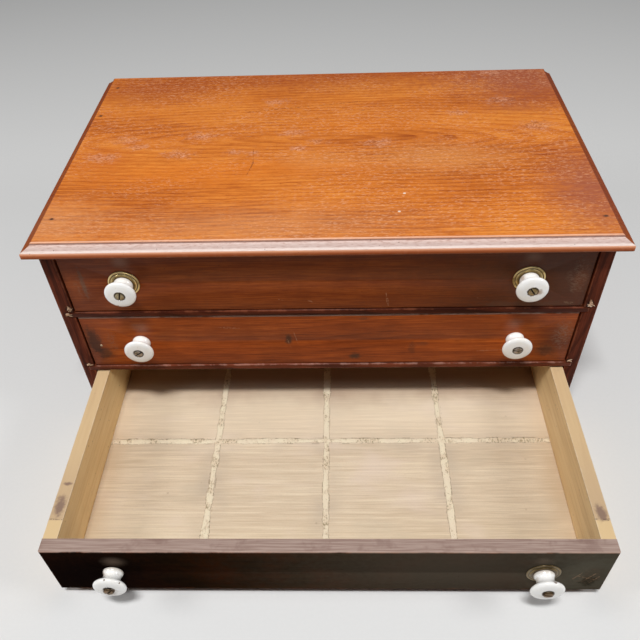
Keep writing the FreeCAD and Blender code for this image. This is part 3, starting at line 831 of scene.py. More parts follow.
class CABINET_OT_polish_top(FinishStep, bpy.types.Operator):
    """Give the moulded top its grain, worn polish, marks and painted moulding highlights"""

    bl_idname = "cabinet.polish_top"
    bl_label = "Polish the top"

    def shade_board(self, top):
        """Lays large changes of tone, fine strokes and lifted flecks of polish."""
        f, n = self.finish, top.n
        for place, (wide, deep), shade, strength in TOP_CLOUDS:
            cloud = top.patch(on_top(*place), (wide * MM, deep * MM, 0.1), ragged=0.9, core=0.0)
            top.paint(cloud, TOP_SHADES[shade], strength)
        strokes = n.noise(top.place, stretch=(70.0, 820.0, 1.0), rough=0.6)
        top.paint(n.step(strokes, 0.52, 0.70), f.top_dark, 0.26)
        top.paint(n.step(strokes, 0.46, 0.30), f.top_light, 0.24)
        flecks = n.noise(top.place, stretch=(230.0, 620.0, 1.0), rough=0.7)
        drifts = n.noise(top.place, stretch=(7.0, 20.0, 1.0), detail=3.0, rough=0.6)
        lifted = n.times(n.step(flecks, 0.53, 0.64), n.step(drifts, 0.36, 0.60))
        top.paint(lifted, TOP_SHADES["fleck"], 0.50 * f.wear)

    def mark_board(self, top):
        """Lays the swirls, scratches, specks of paint and nail holes."""
        n, wear = top.n, self.finish.wear
        swirls = n.most([
            top.patch(on_top(x, y), (half * 1.7 * MM, half * 0.9 * MM, 0.02), 2.4, 0.10)
            for x, y, half in TOP_SWIRLS
        ])
        curl = n.noise(top.place, stretch=(120.0, 300.0, 1.0), distortion=2.6)
        rubbed_and_sheen = n.times(swirls, n.step(curl, 0.50, 0.60))
        cracked = n.times(swirls, n.fade(curl, 0.42, 0.47))
        top.paint(swirls, TOP_SHADES["swirl"], 0.26 * wear)
        top.paint(rubbed_and_sheen, TOP_SHADES["rubbed_and_sheen"], 0.52 * wear)
        top.paint(cracked, TOP_SHADES["crack"], 0.62 * wear)
        top.roughen(rubbed_and_sheen, 0.18)
        cuts = n.most([
            top.line(on_top(*start), on_top(*end), 0.0009) for start, end in TOP_SCRATCHES
        ])
        top.paint(cuts, TOP_SHADES["cut"], 0.75 * wear)
        top.dent(cuts, 0.0001)
        for place in TOP_DOTS:
            dot = top.patch(on_top(*place), (0.0019, 0.0015, 0.01), ragged=0.8, core=0.5)
            top.paint(dot, TOP_SHADES["dot"], 0.85)
        for place in TOP_NAILS:
            hole = top.patch(on_top(*place), (0.0042, 0.0028, 0.01), ragged=0.9, core=0.35)
            top.paint(hole, TOP_SHADES["rust"], 0.7)
            top.dent(hole, 0.0003)

    def shade_moulding(self, top):
        """Darkens the ends, paints the front's light and shade, gives the bevel's highlight."""
        n = top.n
        x, y, height = n.split(top.place)
        drop = n.minus(TOP_HIGH.z, height)
        from_end = n.minus(TOP_HIGH.x, n.math("ABSOLUTE", x))
        from_lip = n.minus(y, TOP_LOW.y)
        front = n.step(n.minus(from_end, from_lip), -0.0002, 0.0002)
        ends = n.times(n.minus(1.0, front), n.step(from_end, 0.0103, 0.0095))
        top.paint(ends, TOP_SHADES["end"], 0.82)
        bevel = n.times(n.step(from_lip, 0.0090, 0.0084), n.step(drop, 0.0072, 0.0060))
        wear_and_highlight = n.times(bevel, front)
        highlight_mottle = n.noise(top.place, stretch=(160.0, 900.0, 900.0), detail=4.0, rough=0.7)
        # The pale bevel is a painted highlight, the lamp seen in its polish
        top.paint(wear_and_highlight, n.ramp(highlight_mottle, BEVEL_HIGHLIGHT), 0.92)
        measured = {"down": drop, "in": from_lip}
        # Painted shade in the hollow, painted highlights on the nose and bead, a darker quirk
        for way, rise, end, shade, strength in MOULDING_STRIPS:
            strip = n.times(*(
                n.step(measured[way], start * MM, full * MM) for start, full in (rise, end)
            ))
            top.paint(n.times(strip, front), TOP_SHADES[shade], strength)
        # The nose and underside are painted darker downwards, a painted shade
        edge = n.ramp(n.math("DIVIDE", drop, TOP_HIGH.z - TOP_LOW.z), NOSE_PAINTED_SHADE)
        top.paint(n.times(n.step(drop, 0.0062, 0.0072), front), edge, 0.88)
        return wear_and_highlight

    def execute(self, context):
        f = self.finish
        top = wood(
            "Top mahogany", "X", (f.top_dark, f.top_middle, f.top_light), (0.20, 0.34, 0.40),
            pores=0.50, depth=0.00007, rough=0.44, shift=(0.37, 0.11, 0.0),
            heart=(-0.02, 0.012, TOP_HIGH.z), taper=0.13, ring_width=0.0065, wander=0.035,
            fineness=2.1,
        )
        n = top.n
        self.shade_board(top)
        self.mark_board(top)
        wear_and_highlight = self.shade_moulding(top)
        dots, cloud = top.lay(speckle, count=230.0, share=0.30)
        top.paint(dots, f.case_dark, 0.45)
        top.paint(n.times(wear_and_highlight, dots), f.case_dark, 0.8)
        top.rub_edges(TOP_LOW, TOP_HIGH, 0.0035, f.bare_wood, 0.16 * f.wear)
        top.roughen(cloud, 0.10)
        coat = n.math("MULTIPLY_ADD", cloud, -0.12 * f.polish, 0.26 * f.polish)
        dress("top_board", top.finish(coat=coat, coat_rough=0.30, specular=0.2, bend=1.3))
        return {"FINISHED"}


# How much lighter than the case each rail is, and the shade of its rubbed edges, on the lower
# rail pale: wear and a painted highlight
RAIL_TONES = {
    "rail_1": ((0.78, 0.74, 0.68), (0.30, 0.095, 0.045)),
    "rail_2": ((1.90, 2.25, 2.60), (0.58, 0.34, 0.27)),
    "top_rail": ((1.0, 1.0, 1.0), (0.30, 0.095, 0.045)),
}
# Broken wood at the ends of the rails: (x, height) of the break and its reach in mm, the lean of
# its splinters in degrees, and how many there are
SPLINTERS = (
    ((-259.5, 178.0), 6.5, 78, 9), ((-263.5, 171.5), 5.5, 12, 8), ((262.0, 180.0), 5.2, 84, 10),
    ((261.5, 177.0), 5.0, -8, 7), ((-262.5, 95.0), 5.0, 25, 8), ((258.5, 95.5), 4.5, 5, 6),
)
WOUND = (0.030, 0.012, 0.008)


class CABINET_OT_polish_case(FinishStep, bpy.types.Operator):
    """Give the case sides and rails their dark mahogany"""

    bl_idname = "cabinet.polish_case"
    bl_label = "Polish the case"

    def case_wood(self, name, grain, heart, node, tone, rubbed_and_sheen):
        f = self.finish
        low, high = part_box(node)
        palette = [tinted(shade, tone) for shade in (f.case_dark, f.case_middle, f.case_light)]
        case = wood(
            name, grain, palette, (0.30, 0.36, 0.42), pores=0.4, depth=0.00005, rough=0.42,
            shift=(0.9, low.x, low.z), heart=heart, taper=0.07, ring_width=0.0048, wander=0.06,
        )
        cloud = case.soil(170.0, 0.25, (f.case_dark, 0.35), (f.case_dark, 0.6))
        # Rubbed edges; on the lower rail they are also a painted highlight
        case.rub_edges(low, high, 0.0022, rubbed_and_sheen, 0.55 * f.wear)
        case.roughen(cloud, 0.15)
        for (x, z), reach, _, _ in SPLINTERS:
            beside = low.x - 0.004 < x * MM < high.x + 0.004
            if beside and low.z - 0.01 < z * MM < high.z + 0.01:
                wound = case.patch((x * MM, low.y, z * MM), (reach * 0.8 * MM,) * 3, 1.6, 0.3)
                case.paint(wound, WOUND, 0.9)
                case.dent(wound, 0.0004)
        return case

    def execute(self, context):
        f = self.finish
        for side, hand in HANDS.items():
            node = f"case_side_{side}"
            case = self.case_wood(
                f"Carcass mahogany {side}", "Z", (0.0, 0.02, hand * 0.33), node,
                *RAIL_TONES["top_rail"],
            )
            skin = case.finish(coat=0.1 * f.polish, coat_rough=0.3, specular=0.3, bend=1.15)
            dress(node, skin, f.eased_edge)
        for number, (node, tones) in enumerate(RAIL_TONES.items(), 1):
            rail = self.case_wood(f"Rail mahogany {number}", "X", (0.0, 0.1, 0.02), node, *tones)
            skin = rail.finish(coat=0.16 * f.polish, coat_rough=0.25, specular=0.3, bend=1.15)
            dress(node, skin, f.eased_edge)
        return {"FINISHED"}


# The rubbed shade on the fronts is a painted reflection of each knob in the polish above it
FRONT_SHADES = {
    "scraped": (0.21, 0.135, 0.088), "grey": (0.13, 0.088, 0.062), "dusk": (0.072, 0.024, 0.010),
    "rubbed_and_sheen": (0.44, 0.31, 0.23), "grime": (0.055, 0.035, 0.022), "moss": (0.020, 0.022, 0.014),
    "pitch": (0.0062, 0.0034, 0.0028), "olive": (0.078, 0.062, 0.045),
    "ash": (0.108, 0.102, 0.076), "arris": (0.66, 0.45, 0.36), "bruise": (0.20, 0.12, 0.10),
}
SOFT_SHADES = ("rubbed_and_sheen", "dusk", "dark", "pitch", "olive", "ash")
ROUGH_SHADES = ("grime", "moss", "grey")
# Marks on the drawer fronts, painted light and shade among them: (x, height), (half width,
# half height), shade, strength, in mm
FRONT_STAINS = {
    1: (
        # A painted shadow of the top's lip along the top, and a painted shade over the right half
        ((0, 246), (300, 12), "dark", 0.55), ((235, 212), (230, 110), "dusk", 1.15),
        ((-246, 207), (9, 27), "pale", 0.30), ((-237, 210), (2.6, 26), "grey", 0.60),
        ((246, 209), (9, 26), "pale", 0.15), ((243, 212), (12, 30), "scraped", 0.5),
        ((-240, 204), (9, 24), "scraped", 0.35), ((200, 178), (60, 5), "grey", 0.30),
        # Painted reflections of the knobs in the polish above them
        ((-194, 238), (13, 11), "rubbed_and_sheen", 0.34), ((196, 238), (12, 10), "rubbed_and_sheen", 0.24),
    ),
    2: (
        ((-247, 130), (9, 27), "grime", 0.92), ((-240, 112), (12, 10), "grime", 0.7),
        ((240, 128), (42, 50), "dark", 0.85), ((247, 138), (9, 20), "pale", 0.35),
        ((-252, 130), (34, 60), "dark", 0.70),
        ((244, 134), (13, 28), "scraped", 0.65), ((232, 112), (12, 12), "grime", 0.6),
        ((-228, 128), (8, 22), "scraped", 0.4),
        # Painted reflections of the knobs in the polish above them
        ((-194, 151), (14, 9), "rubbed_and_sheen", 0.32), ((193, 151), (13, 9), "rubbed_and_sheen", 0.26),
        ((101, 122), (9, 5), "grime", 0.35), ((-40, 131), (4.5, 10), "grime", 0.90),
        ((30, 104), (8, 6), "grime", 0.95), ((38, 160), (8, 3), "grime", 0.5),
        ((90, 116), (5, 12), "grime", 0.40),
    ),
    3: (
        # Pitch, olive and ash: painted shade over the whole front, greyed by a painted reflection
        ((-225, 42), (260, 150), "pitch", 1.25), ((120, 44), (260, 130), "olive", 1.10),
        ((240, 46), (80, 80), "ash", 1.00), ((240, 30), (10, 13), "moss", 0.95),
        ((238, 40), (17, 24), "scraped", 0.35), ((243, 42), (16, 22), "grime", 0.45),
        # Painted reflections of the knobs in the polish above them
        ((-192, 66), (15, 12), "rubbed_and_sheen", 0.30), ((193, 69), (13, 9), "rubbed_and_sheen", 0.15),
    ),
}
FRONT_SCRATCHES = {
    1: (((-46, 188), (-40, 186)), ((-17, 186), (-12, 184)), ((236, 180), (244, 179)),
        ((150, 187), (158, 186)), ((60, 196), (63, 178))),
    2: (((-34, 141), (-30, 124)), ((-41, 130), (-38, 118)), ((88, 122), (95, 113)),
        ((150, 110), (190, 112)), ((-120, 150), (-90, 148))),
    3: (((228, 41), (246, 33)), ((233, 28), (243, 45)), ((225, 35), (231, 47)),
        ((240, 24), (248, 40))),
}
# Each front's tint, which paints the light and shade on it, the third front nearly black in its
# shade; how strongly its arris is painted pale, for wear and a highlight; how much wax it keeps;
# and its glint and bend of light
FRONT_LOOKS = {
    1: ((0.88, 0.88, 0.88), 0.25, 0.24, 0.4, 1.2),
    2: ((1.46, 1.46, 1.46), 0.95, 0.24, 0.4, 1.2),
    3: ((0.10625, 0.25, 0.525), 0.30, 0.0, 0.0, 1.06),
}
# Raw wood behind a front's varnish and on its crown, from the dark to the light of its fibres
RAW_WOOD = ((0.1, (0.19, 0.092, 0.062)), (0.9, (0.35, 0.21, 0.16)))
DUSTY_WOOD = ((0.1, (0.32, 0.225, 0.190)), (0.9, (0.43, 0.325, 0.280)))


class CABINET_OT_polish_fronts(FinishStep, bpy.types.Operator):
    """Give each drawer front its own mahogany, stains, painted light and shade, and scratches"""

    bl_idname = "cabinet.polish_fronts"
    bl_label = "Polish the drawer fronts"

    def mark_front(self, board, number, face):
        """Lays a front's stains, painted light and shade, scrapes and scratches."""
        f, n = self.finish, board.n
        scraped = board.lay(scrapes)
        shades = {**FRONT_SHADES, "pale": f.front_light, "dark": f.case_dark}
        for (x, z), (wide, tall), shade, strength in FRONT_STAINS[number]:
            ragged, core = (0.4, 0.0) if shade in SOFT_SHADES else (1.5, 0.35)
            spot = board.patch((x * MM, face, z * MM), (wide * MM, 0.02, tall * MM), ragged, core)
            if shade == "scraped":
                spot = n.times(spot, scraped)
            board.paint(spot, shades[shade], strength * f.wear)
            if shade in ROUGH_SHADES:
                board.roughen(spot, 0.25)
        cuts = n.most([
            board.line((a * MM, face, b * MM), (c * MM, face, d * MM))
            for (a, b), (c, d) in FRONT_SCRATCHES[number]
        ])
        board.paint(cuts, f.bare_wood, 0.45 * f.wear)
        board.dent(cuts, 0.00008)

    def front_wood(self, number):
        f = self.finish
        low, high = FRONT_BOX[number]
        tint, bare, wax, glint, bend = FRONT_LOOKS[number]
        palette = [tinted(shade, tint) for shade in (f.front_dark, f.front_middle, f.front_light)]
        board = wood(
            f"Front mahogany {number}", "X", palette, (0.13, 0.34, 0.27), pores=0.34,
            depth=0.00005, rough=0.40, shift=(number * 0.73, 0.2, number * 0.31),
            heart=(0.0, 0.07, low.z - 0.05 * number), taper=0.03 * (number - 2),
            ring_width=0.0050, wander=0.045, fineness=1.9,
        )
        n = board.n
        dots, cloud = board.lay(speckle, count=190.0, share=0.22)
        board.paint(cloud, f.front_dark, 0.30)
        self.mark_front(board, number, low.y)
        board.paint(dots, f.case_dark, 0.5)
        board.rub_edges(low, high, 0.0020, f.front_light, 0.40 * f.wear)
        inside, crown, bruised, arris = board.lay(varnish_ends, face=low.y, level=high.z)
        board.paint(inside, n.ramp(board.fibre, RAW_WOOD), 0.80)
        board.paint(crown, n.ramp(board.fibre, DUSTY_WOOD), 0.85)
        board.paint(bruised, FRONT_SHADES["bruise"], 0.4)
        # The arris is painted pale: bare wood and a painted highlight
        board.paint(arris, FRONT_SHADES["arris"], bare)
        raw = n.most([inside, crown])
        board.roughen(raw, 0.25)
        coat = n.times(n.minus(1.0, raw), wax * f.polish)
        return board.finish(coat=coat, coat_rough=0.24, specular=glint, bend=bend)

    def execute(self, context):
        for number in DRAWERS:
            dress(f"drawer_{number}_front", self.front_wood(number), self.finish.eased_edge)
        return {"FINISHED"}


# Stains on the tops of a drawer's sides: hand, distance back from the front, half length, in mm
SIDE_STAINS = ((-1, 42, 15), (1, 36, 13), (-1, 66, 3))
# How far back from its front a drawer's side meets the front board
SEAM_BACK = 0.0280
LINING_SHADES = {
    "knots": (0.20, 0.10, 0.045), "inside": (0.88, 0.72, 0.45), "crown": (0.58, 0.42, 0.25),
    "handled": (0.44, 0.30, 0.19), "tip": (0.76, 0.55, 0.28), "seam": (0.07, 0.04, 0.025),
    "stain": (0.16, 0.09, 0.075), "back knots": (0.14, 0.07, 0.035),
}
# How much light is painted on the inner face of each side
INNER_FACE_PAINTED_LIGHT = {-1: 0.16, 1: 0.38}
# The backs are darker than the sides
BACK_TINT = (0.80, 0.68, 0.58)
# Shades of the bottoms; the middle one is painted light and the back one a painted shadow
FLOOR_SHADES = {
    "ridge": (0.88, 0.74, 0.53), "bleached": (0.74, 0.60, 0.50), "yellowed": (0.52, 0.43, 0.31),
    "specks": (0.22, 0.14, 0.08), "dust": (0.40, 0.33, 0.26), "beside": (0.50, 0.355, 0.215),
    "rim": (0.52, 0.39, 0.26), "cracks": (0.24, 0.18, 0.11), "front": (0.72, 0.57, 0.37),
    "middle": (0.90, 0.75, 0.56), "back": (0.30, 0.165, 0.105),
}


class CABINET_OT_line_drawers(FinishStep, bpy.types.Operator):
    """Give the drawer sides, backs and bottoms their pale wood"""

    bl_idname = "cabinet.line_drawers"
    bl_label = "Line the drawers"

    def side_wood(self, number, side):
        f = self.finish
        low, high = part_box(f"drawer_{number}_side_{side}")
        hand = HANDS[side]
        shades = LINING_SHADES
        board = wood(
            f"Drawer side {number} {side}", "Y", (f.lining_dark, f.lining_middle, f.lining_light),
            (0.14, 0.22, 0.34), pores=0.16, depth=0.00005, rough=0.55,
            shift=(number * 0.41, hand * 0.17, 0.0), heart=(0.0, low.x + hand * 0.04, low.z - 0.02),
            taper=0.06, ring_width=0.0065, wander=0.04,
        )
        board.soil(120.0, 0.18, (f.lining_dark, 0.16), (shades["knots"], 0.65))
        crown, inside, handled, tip, foot = board.lay(
            side_wear_and_light, face=low.y, underside=low.z, level=high.z, inner=min(abs(low.x), abs(high.x))
        )
        # Light painted on the inner face of the side
        board.paint(inside, shades["inside"], INNER_FACE_PAINTED_LIGHT[hand])
        board.paint(crown, shades["crown"], 0.78)
        board.paint(handled, shades["handled"], 0.50)
        board.paint(tip, shades["tip"], 0.65)
        seam = board.line(
            (low.x, low.y + SEAM_BACK + 0.0007, high.z), (high.x, low.y + SEAM_BACK, high.z), 0.0007
        )
        board.paint(seam, shades["seam"], 0.9)
        for stained, back, half in SIDE_STAINS:
            if stained == hand:
                place = ((low.x + high.x) / 2, low.y + back * MM, high.z)
                spot = board.patch(place, (0.0065, half * MM, 0.004), ragged=1.6, core=0.3)
                board.paint(spot, shades["stain"], 0.75)
        board.paint(foot, f.lining_dark, 0.28)
        board.rub_edges(low, high, 0.0018, f.floor_light, 0.35 * f.wear)
        return board.finish()

    def floor_wood(self, number):
        f = self.finish
        low, high = FLOOR_BOX[number]
        board = wood(
            f"Drawer bottom {number}", "X", (f.floor_dark, f.floor_middle, f.floor_light),
            (0.06, 0.22, 0.30), pores=0.14, depth=0.00004, rough=0.66,
            shift=(0.2, number * 0.37, 0.0), heart=(0.0, 0.3, low.z - 0.5), taper=0.02,
            ring_width=0.0045, wander=0.03, fineness=2.4,
        )
        ribs, combed, furrows, ridges, fuzz, bleached, yellowed = board.lay(sawn_board)
        board.dent(ribs, 0.00007)
        dots, _ = board.lay(speckle, count=90.0, share=0.10)
        dust, beside, patches, cracks, front, middle, back = board.lay(
            bottom_dirt_and_light, face=FRONT_BOX[number][0].y, inner=-SIDE_BOX[number][1].x
        )
        _, inset = board.lay(edge_wear, low=low, high=high, width=0.004)
        rim = board.n.times(board.n.fade(inset, 0.002, 0.020), patches)
        shades = FLOOR_SHADES
        # Middle paints light on the rear of the bottom and back a shadow at its very back; beside,
        # rim and front darken it along its edges
        for mask, shade, strength in (
            (combed, f.floor_dark, 0.42), (furrows, f.floor_dark, 0.30),
            (ridges, shades["ridge"], 0.40), (fuzz, f.floor_dark, 0.26),
            (bleached, shades["bleached"], 0.50), (yellowed, shades["yellowed"], 0.40),
            (dots, shades["specks"], 0.4), (dust, shades["dust"], 0.42),
            (beside, shades["beside"], 0.62), (rim, shades["rim"], 0.40),
            (cracks, shades["cracks"], 0.60), (front, shades["front"], 0.30),
            (middle, shades["middle"], 0.42), (back, shades["back"], 0.60),
        ):
            board.paint(mask, shade, strength)
        return board.finish()

    def back_wood(self, number):
        f = self.finish
        low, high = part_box(f"drawer_{number}_back")
        lining = (f.lining_dark, f.lining_middle, f.lining_light)
        board = wood(
            f"Drawer back {number}", "X", [tinted(shade, BACK_TINT) for shade in lining],
            (0.26, 0.34, 0.44), pores=0.25, depth=0.00005, rough=0.6,
            shift=(number * 0.23, 0.4, 0.1), heart=(0.0, low.y - 0.03, low.z - 0.03), taper=0.06,
            ring_width=0.006, wander=0.05,
        )
        board.soil(120.0, 0.20, (f.lining_dark, 0.30), (LINING_SHADES["back knots"], 0.6))
        board.rub_edges(low, high, 0.0018, f.floor_light, 0.30 * f.wear)
        return board.finish()

    def execute(self, context):
        eased = self.finish.eased_edge
        for number in DRAWERS:
            for side in HANDS:
                dress(f"drawer_{number}_side_{side}", self.side_wood(number, side), eased)
            dress(f"drawer_{number}_bottom", self.floor_wood(number))
            dress(f"drawer_{number}_back", self.back_wood(number), eased)
        return {"FINISHED"}


PINE_HAZE = (0.30, 0.18, 0.10)
PINE_KNOTS = (0.10, 0.055, 0.03)
# How the grain of each kind of hidden board runs, and where its heart lies
PINE_BOARDS = {
    "bottom_board": ("X", (0.0, 0.05, -0.12)), "back_panel": ("X", (0.0, 0.05, -0.12)),
    "runner": ("Y", (0.0, 0.2, 0.05)), "kicker": ("Y", (0.0, 0.2, 0.05)),
    "stop": ("X", (0.0, 0.1, 0.03)),
}


class CABINET_OT_dress_carcass(FinishStep, bpy.types.Operator):
    """Give the hidden boards of the case their dry pine"""

    bl_idname = "cabinet.dress_carcass"
    bl_label = "Dress the carcass"

    def pine(self, node, grain, heart):
        f = self.finish
        low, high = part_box(node)
        board = wood(
            f"Pine {node}", grain, (f.lining_dark, f.lining_middle, f.floor_light),
            (0.42, 0.30, 0.40), pores=0.20, depth=0.00006, rough=0.65,
            shift=(low.x, low.y, low.z), heart=heart, taper=0.05, ring_width=0.0075, wander=0.07,
        )
        n = board.n
        board.soil(80.0, 0.25, (PINE_HAZE, 0.45), (PINE_KNOTS, 0.6))
        board.rub_edges(low, high, 0.0025, f.lining_dark, 0.40 * f.wear)
        if node == "bottom_board":
            # Its front edge is stained like the case
            streaks = n.ramp(board.fibre, ((0.1, f.case_dark), (0.9, f.case_light)))
            back = n.split(board.place)[1]
            board.paint(n.step(back, low.y + 0.0022, low.y + 0.0012), streaks, 0.96)
        return board.finish()

    def execute(self, context):
        for node in sorted(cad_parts):
            kind = node if node in PINE_BOARDS else node.split("_")[0]
            if kind in PINE_BOARDS:
                dress(node, self.pine(node, *PINE_BOARDS[kind]), self.finish.eased_edge)
        return {"FINISHED"}


# Knob outline in mm: radius and distance out from its seat
KNOB_OUTLINE = (
    ((2.3, 0.0), (9.0, 0.0)),
    ((9.0, 0.0), (9.4, 0.5), (9.45, 1.5), (9.15, 2.4)),
    (
        (9.15, 2.4), (8.45, 3.8), (8.1, 5.2), (8.15, 6.7), (8.75, 8.2), (10.2, 9.7),
        (12.4, 11.3), (14.4, 12.6), (15.25, 13.9), (15.05, 15.2), (14.1, 16.3), (12.0, 17.05),
        (9.0, 17.4), (6.2, 17.6),
    ),
    ((6.2, 17.6), (5.5, 17.55), (5.2, 17.2)),
    ((5.2, 17.2), (5.15, 16.0), (2.3, 16.0)),
)
# Chips broken from the glaze: drawer, hand, turn in degrees, then the distance out, the radius
# and the reach in mm
KNOB_CHIPS = (
    (3, 1, 158, 10.2, 14.9, 3.6), (3, 1, 72, 13.0, 14.9, 2.4), (3, 1, 112, 15.6, 13.4, 0.9),
    (1, -1, 250, 16.4, 13.4, 0.9), (2, 1, 210, 15.8, 13.4, 0.9), (3, -1, 95, 14.8, 14.9, 0.9),
    (1, 1, 15, 13.2, 14.9, 0.9), (3, -1, 40, 15.2, 14.9, 1.0),
)
# Brown stains in the glaze: (x, height from the axis, distance out, reach, strength), in mm
KNOB_STAINS = {
    1: ((202.5, -1.0, 17.0, 5.5, 0.75), (188.0, 4.0, 2.0, 4.0, 0.6)),
    2: (),
    3: (
        (-204.5, 3.0, 3.0, 5.0, 0.55), (-203.0, 6.0, 8.0, 4.5, 0.35),
        (-196.0, -6.0, 17.0, 11.0, 0.60), (196.0, -3.0, 17.0, 8.0, 0.50),
        (188.0, 3.0, 8.0, 4.0, 0.30),
    ),
}
# How strongly each drawer's knobs are soiled at the foot and in the waist
KNOB_GRIME = {1: (0.22, 0.06), 2: (0.22, 0.06), 3: (0.45, 0.34)}
WARM_GLAZE = (0.985, 0.965, 0.92)
GLAZE_SHADES = {
    "screw": (0.13, 0.075, 0.035), "foot": (0.30, 0.20, 0.10), "waist": (0.42, 0.27, 0.13),
    "stain": (0.36, 0.20, 0.09), "chip": (0.20, 0.12, 0.07), "pinholes": (0.25, 0.17, 0.10),
}
# Thickness of a back plate, and the hands of the knobs that have one
PLATE_SEAT = 1.8
PLATED = {1: (-1, 1), 2: (), 3: (1,)}


def knob_seats(number):
    """The middle of each knob's seat on a drawer front, by its hand."""
    low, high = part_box(f"drawer_{number}_knobs")
    radius = (high.z - low.z) / 2
    spacing = (high.x - low.x) / 2 - radius
    seats = {}
    for hand in HANDS.values():
        out = PLATE_SEAT * MM if hand in PLATED[number] else 0.0
        seats[hand] = (
            (low.x + high.x) / 2 + hand * spacing, FRONT_BOX[number][0].y - out,
            (low.z + high.z) / 2,
        )
    return seats


def knob_measures(coating, seats):
    """How far a point lies from the axis of its knob, and how far out from its seat."""
    (left, left_seat, height), (right, right_seat, _) = seats[-1], seats[1]
    return coating.lay(
        knob_distance, middle=(left + right) / 2, spacing=(right - left) / 2, height=height,
        left_seat=left_seat, right_seat=right_seat,
    )


def knob_chips(number, seats):
    """Each chip of a drawer's knobs: its middle, its reach and the axis beside it."""
    for drawer, hand, turn, out, radius, reach in KNOB_CHIPS:
        if drawer == number:
            axis = Vector(seats[hand]) - Vector((0.0, out * MM, 0.0))
            turn = math.radians(turn)
            away = Vector((math.cos(turn), 0.0, math.sin(turn))) * radius * MM
            yield axis + away, reach * MM, axis


class CABINET_OT_turn_knobs(FinishStep, bpy.types.Operator):
    """Turn the glazed ceramic knobs, with their chips and dirt"""

    bl_idname = "cabinet.turn_knobs"
    bl_label = "Turn the knobs"

    def glaze(self, number, seats):
        f = self.finish
        shades = GLAZE_SHADES
        knob = Coating(f"White glaze {number}")
        n = knob.n
        cloud = n.noise(knob.place, scale=130.0, detail=3.0)
        knob.colour = n.ramp(cloud, ((0.3, tinted(f.glaze, WARM_GLAZE)), (0.65, f.glaze)))
        knob.rough = n.math("MULTIPLY_ADD", cloud, 0.10, 0.10)
        radius, out = knob_measures(knob, seats)
        screw, foot, waist = knob.lay(knob_dirt, radius=radius, out=out)
        at_foot, at_waist = KNOB_GRIME[number]
        knob.paint(screw, shades["screw"], 0.85)
        knob.paint(foot, shades["foot"], at_foot)
        knob.paint(waist, shades["waist"], at_waist)
        _, face, axis = seats[-1]
        for x, up, away, reach, strength in KNOB_STAINS[number]:
            spot = (x * MM, face - away * MM, axis + up * MM)
            stained = knob.patch(spot, (reach * MM,) * 3, ragged=1.8, core=0.1)
            knob.paint(stained, shades["stain"], strength)
        broken = n.most([
            knob.patch(spot, (reach,) * 3, ragged=1.1, core=0.55)
            for spot, reach, _ in knob_chips(number, seats)
        ])
        knob.paint(broken, shades["chip"], 0.85)
        knob.roughen(broken, 0.6)
        knob.dent(broken, 0.0004)
        pinholes, _ = knob.lay(speckle, count=420.0, share=0.06)
        knob.paint(pinholes, shades["pinholes"], 0.8)
        whole = n.minus(1.0, n.most([broken, foot]))
        return knob.finish(coat=n.times(whole, 0.5), coat_rough=0.06)

    def execute(self, context):
        depth = self.fittings.chip_depth
        for number in DRAWERS:
            seats = knob_seats(number)
            source = bmesh.new()
            for seat in seats.values():
                turned(source, KNOB_OUTLINE, seat, around=72)
            for spot, reach, axis in knob_chips(number, seats):
                for vertex in source.verts:
                    gap = (vertex.co - spot).length / reach
                    if gap < 1.0:
                        inward = (axis - vertex.co).normalized()
                        vertex.co += inward * depth * (1.0 - gap * gap) * 0.7
            piece = new_piece(
                f"turned_knobs_{number}", source, self.glaze(number, seats), f"drawer_{number}"
            )
            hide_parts(f"drawer_{number}_knobs")
        return {"FINISHED"}


# Screw outline in mm, and how far out from the knob's seat its head sits
SCREW_OUTLINE = (
    ((2.0, -24.0), (2.0, 0.0)),
    ((2.0, 0.0), (4.6, 0.0)),
    ((4.6, 0.0), (4.8, 0.25), (4.8, 0.9), (4.55, 1.5), (3.6, 1.95), (1.8, 2.17), (0.25, 2.2)),
)
SCREW_SEAT = 16.0
# The slot's turn in degrees, and how far a screw stands proud, by drawer and hand
SCREW_TURNS = {(1, -1): -75, (1, 1): 55, (2, -1): -35, (2, 1): 0, (3, -1): -50, (3, 1): 15}
PROUD = {(3, 1): 1.4, (3, -1): 2.0}
# Length, depth and width of the blade that cuts a slot, and how far out from the head's seat
# lie the middle of the blade and the darkened bottom of the slot, in mm
SLOT_BLADE = (12.0, 1.9, 1.5)
SLOT_MIDDLE = 1.85
SLOT_DARK_FLOOR = 1.6
# A screw with both its slots cut has at least this many faces
SLOTTED_FACES = 200
# Back plate outline in mm
PLATE_OUTLINE = (
    ((2.6, 0.0), (15.0, 0.0)),
    ((15.0, 0.0), (15.5, 0.25), (15.45, 0.7), (14.6, 1.0), (13.4, 0.82)),
    ((13.4, 0.82), (12.7, 0.88), (12.2, 1.3), (11.8, 1.7), (11.0, 1.8), (10.0, 1.8)),
    ((10.0, 1.8), (2.6, 1.8)),
)
PLATE_RIDGES = (15.1, 14.3, 12.2)
PLATE_HOLLOW = 13.3
# Each drawer's screws: the tint of their brass and the shade of their worn crowns
SCREW_LOOKS = {
    1: ((0.62, 0.60, 0.62), (0.50, 0.42, 0.27)),
    2: ((0.72, 0.86, 1.55), (0.62, 0.56, 0.54)),
    3: ((0.45, 0.36, 0.40), (0.26, 0.17, 0.11)),
}
# Each drawer's plates: the tint of their brass and how bright their ridges are painted, for polish
# and a painted highlight
PLATE_LOOKS = {1: ((1.0, 0.95, 0.85), 0.85), 3: ((0.30, 0.26, 0.24), 0.10)}
BRASS_SHADES = {
    "specks": (0.035, 0.025, 0.015), "ridge": (0.90, 0.72, 0.36), "middle": (0.07, 0.045, 0.02),
    "rim": (0.05, 0.032, 0.018), "slot": (0.008, 0.005, 0.004), "pin": (0.75, 0.62, 0.42),
}


